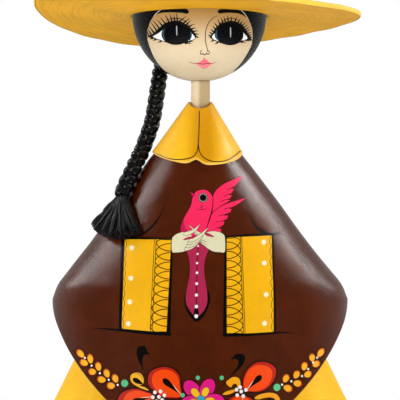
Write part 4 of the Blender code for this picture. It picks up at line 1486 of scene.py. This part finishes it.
def makeBraid(colors):
    shape = bmesh.new()
    path, length = evenPoints(braidPath(), braid["steps"]["strand"])
    frames = framesOf(path)
    spacing = length / (len(path) - 1)
    for k in range(3):
        line, radii = [], []
        for i, point in enumerate(path):
            turn = 2 * math.pi * (i * spacing / braid["pitch"] + k / 3)
            wide, deep = frames[i]
            aside, ahead = braid["swing"] * math.sin(turn), braid["depth"] * math.sin(2 * turn)
            line.append(point + wide * aside + deep * ahead)
            (first, firstMore), (last, lastMore) = braid["strandEnds"]
            ends = min(1.0, first + firstMore * i, last + lastMore * (len(path) - 1 - i))
            radii.append(braid["strandRadius"] * ends * (1 - braid["strandSwell"] * math.cos(4 * turn)))
        sweep(shape, line, radii, braid["sides"]["strand"])
    plaited = len(shape.faces)
    addTie(shape, path)
    addTassel(shape, path)
    shape.faces.ensure_lookup_table()
    for face in shape.faces[plaited:]:
        face.material_index = 1
    bmesh.ops.recalc_face_normals(shape, faces=shape.faces[:])
    for face in shape.faces:
        face.smooth = True
    tubeMap(shape)
    finishPiece("plaitedBraid", shape, [colors["braidBlack"], colors["tasselBlack"]], "braid")


# The yarn's own map: around it from 0 to 1, and along it in centimetres.
def tubeMap(shape):
    spot = shape.verts.layers.float_vector["tube"]
    sheet = shape.loops.layers.uv.new("alongYarn")
    for face in shape.faces:
        around = [loop.vert[spot][0] for loop in face.loops]
        for loop, turn in zip(face.loops, around):
            turn += 1.0 if turn < 0.5 and max(around) - turn > 0.5 else 0.0
            loop[sheet].uv = (turn, loop.vert[spot][1] / 0.01)


def addTie(shape, path):
    knot = path[-3]
    down = (path[-1] - path[-8]).normalized()
    wide = down.cross(Vector((0, 1, 0))).normalized()
    deep = wide.cross(down).normalized()
    reach = braid["knotRadius"] - braid["tieInset"]
    for offset, size in braid["ties"]:
        loop = []
        for i in range(33):
            angle = 2 * math.pi * i / 32
            out = wide * math.cos(angle) + deep * (0.85 * math.sin(angle))
            loop.append(knot + down * (offset + 0.0003 * math.sin(angle)) + out * (reach * size))
        middle = sum(loop[:-1], Vector()) / 32
        frames = [((point - middle).normalized(), down) for point in loop]
        sweep(shape, loop, [braid["tieRadius"]] * 33, braid["sides"]["tie"], frames)


def addTassel(shape, path):
    draw = random.Random(4)
    knot = path[-3]
    topDrop, topTurn = braid["shoulderPath"][-1]
    for endTurn, endDrop, thickness, pinch in braid["tasselEnds"]:
        radius = braid["lockRadius"] * thickness
        swing = endTurn - topTurn
        spine = []
        for share in (0.0, 0.15, 0.35, 0.6, 0.8, 1.0):
            turn, fall = topTurn + swing * share ** braid["lockCurve"], topDrop + (endDrop - topDrop) * share
            rest = capeSpot(180.0 + turn, fall, radius * 1.1 + lady["gap"])
            spine.append(knot.lerp(rest, min(1.0, share * braid["lockLeave"])))
        line, _ = evenPoints(spine, braid["steps"]["lock"])
        frames = framesOf(line)
        yarn = braid["yarnRadius"]
        waist = [1 - pinch * math.exp(-((i / len(line) - braid["waistPlace"]) / braid["waistLength"]) ** 2)
                 for i in range(len(line))]
        swell = [radius * waist[i] * min(0.92, 0.5 + 1.1 * i / len(line)) for i in range(len(line))]
        sweep(shape, line[:-1], swell, braid["sides"]["lock"])
        spots = [(reach, turn) for reach, first, step in braid["yarnRings"]
                 for turn in range(first, first + 360, step)]
        for reach, turn in spots:
            angle = math.radians(turn + draw.uniform(-braid["yarnTurn"], braid["yarnTurn"]))
            last = max(3, round(len(line) * draw.uniform(braid["yarnShortest"], 1.0)))
            twist = draw.uniform(-braid["yarnTwist"], braid["yarnTwist"])
            points, radii = [], []
            for i in range(last):
                share = i / (len(line) - 1)
                wide, deep = frames[i]
                spread = radius * reach * waist[i] * (0.55 + 0.55 * min(1.0, share * 2.5))
                spread *= 1 + draw.uniform(-braid["yarnSpread"], braid["yarnSpread"])
                a = angle + twist * share
                points.append(line[i] + wide * (spread * math.cos(a)) + deep * (spread * math.sin(a)))
                radii.append(yarn * (0.6 if i == last - 1 else 1.0))
            sweep(shape, points, radii, braid["sides"]["yarn"])


# Every finish: its colour on screen, how much darker and lighter it clouds, gloss, bumps and shine.
# The painted shade of three of them is a tint along an axis: the middle, from and to, strength and colour.
def finishes():
    inPlain = {
        "capeBrown": ((77, 28, 3), 0.8, 1.16, 0.16, 0.08, 0.6),
        "skirtYellow": ((255, 192, 22), 0.9, 1.02, 0.4, 0.06, 0.1),
        # painted shadow of the head: the collar is darker in its middle under the chin
        "collarYellow": ((255, 196, 36), 0.88, 1.04, 0.3, 0.04, 0.4, 1.0,
                         ("X", 0.002, 0.003, 0.016, -0.9, (208, 146, 4))),
        "collarEdge": ((250, 202, 88), 0.9, 1.05, 0.4, 0.05, 0.4),
        # painted shade: the neck's right side is darker
        "neckCream": ((219, 200, 166), 0.94, 1.04, 0.35, 0.04, 0.3, 0.5,
                      ("X", -0.02, 0.0172, 0.0205, 1.0, (176, 154, 118))),
        # painted shadow of the hat brim and painted yellow reflection of the hat: the face turns tan towards its
        # top
        "faceCream": ((216, 200, 168), 0.96, 1.02, 0.3, 0.03, 0.3, 0.5,
                      ("Z", 0.0, 0.308, 0.34, 0.95, (166, 128, 68))),
        "hairBlack": ((10, 10, 11), 0.7, 1.3, 0.22, 0.04),
        "ink": ((9, 8, 8), 0.8, 1.2, 0.35, 0.03, 0.2),
        "sleeveYellow": ((246, 182, 18), 0.92, 1.04),
        "laceOrange": ((250, 168, 28), 0.92, 1.04),
        "dotCream": ((253, 242, 208), 0.95, 1.0),
        "dotWhite": ((250, 246, 248), 0.95, 1.0),
        "handCream": ((226, 222, 186), 0.93, 1.02),
        "birdPink": ((246, 43, 96),),
        "birdShade": ((195, 28, 82),),
        "eyeGrey": ((150, 140, 140),),
        "leafOrange": ((220, 92, 14), 0.85, 1.05),
        "leafYellow": ((250, 184, 36), 0.9, 1.05),
        "leafGreen": ((92, 200, 140), 0.9, 1.05),
        "shadeBrown": ((50, 22, 9), 0.8, 1.1, 0.3, 0.04),
        "petalRim": ((188, 34, 14), 0.85, 1.05),
        "petalOrange": ((255, 76, 10),),
        "flowerPink": ((232, 30, 136),),
        "flowerYellow": ((255, 198, 44),),
        "centreBlue": ((58, 172, 200),),
        "wispGrey": ((225, 218, 208), 0.93, 1.03, 0.32, 0.03),
        "eyeWhite": ((238, 240, 238), 0.95, 1.0, 0.28, 0.02),
        "irisTeal": ((44, 82, 96), 0.85, 1.1, 0.28, 0.02),
        "pupilBlack": ((8, 8, 10), 0.85, 1.2, 0.25, 0.004, 0.15),
        "shineGrey": ((170, 175, 182), 0.9, 1.1, 0.28, 0.02),
        "lipPink": ((250, 140, 154), 0.93, 1.03, 0.3, 0.02),
        "lipRose": ((240, 116, 132), 0.93, 1.03, 0.3, 0.02),
        "lipLine": ((160, 40, 58), 0.93, 1.03, 0.3, 0.02),
    }
    made = {}
    for name, (color, *rest) in inPlain.items():
        made[name] = enamel(name, screenColor(*color), *rest)
    for name, color, *rest in (
            ("hatYellow", (245, 183, 38), 0.76, 1.05, 0.45, 0.05, 0.08),
            # a lighter copy of the hat's yellow on the rim, a painted highlight
            ("hatRim", (252, 200, 78), 0.9, 1.04, 0.4, 0.03, 0.2),
            # a darker brown line under the rim, a painted shade in the crease
            ("hatLine", (150, 98, 24), 0.7, 1.15, 0.45, 0.03, 0.1)):
        made[name] = ringBrushed(name, screenColor(*color), *rest)
    made["tailRose"] = netPainted("tailRose", screenColor(136, 16, 54), screenColor(214, 58, 104), 0.0021, 0.3, 0.3)
    made["braidBlack"] = ribbedYarn("braidBlack", screenColor(9, 9, 10), 0.24, 7.0, 0.03, 1.0)
    made["tasselBlack"] = ribbedYarn("tasselBlack", screenColor(13, 14, 16), 0.4, 5.0, 0.06, 0.5)
    return made


def addFloor():
    shape = bmesh.new()
    bmesh.ops.create_circle(shape, cap_ends=True, radius=studio["floorRadius"], segments=96)
    mesh = bpy.data.meshes.new("floor")
    shape.to_mesh(mesh)
    shape.free()
    floor = bpy.data.objects.new("floor", mesh)
    bpy.context.scene.collection.objects.link(floor)
    material, _, shader, _ = newMaterial("paleFloor")
    join(shader, {"Base Color": (*[studio["floorGrey"]] * 3, 1), "Roughness": 0.7})
    mesh.materials.append(material)


addCamera()
addLights()
colors = finishes()
addFloor()
print("studio and paints ready")
for piece, make in (("skirt", makeSkirt), ("neck", makeNeck), ("head", makeHead), ("cape", makeCape),
                    ("collar", makeCollar), ("hat", makeHat), ("braid", makeBraid)):
    make(colors)
    print("made the", piece)
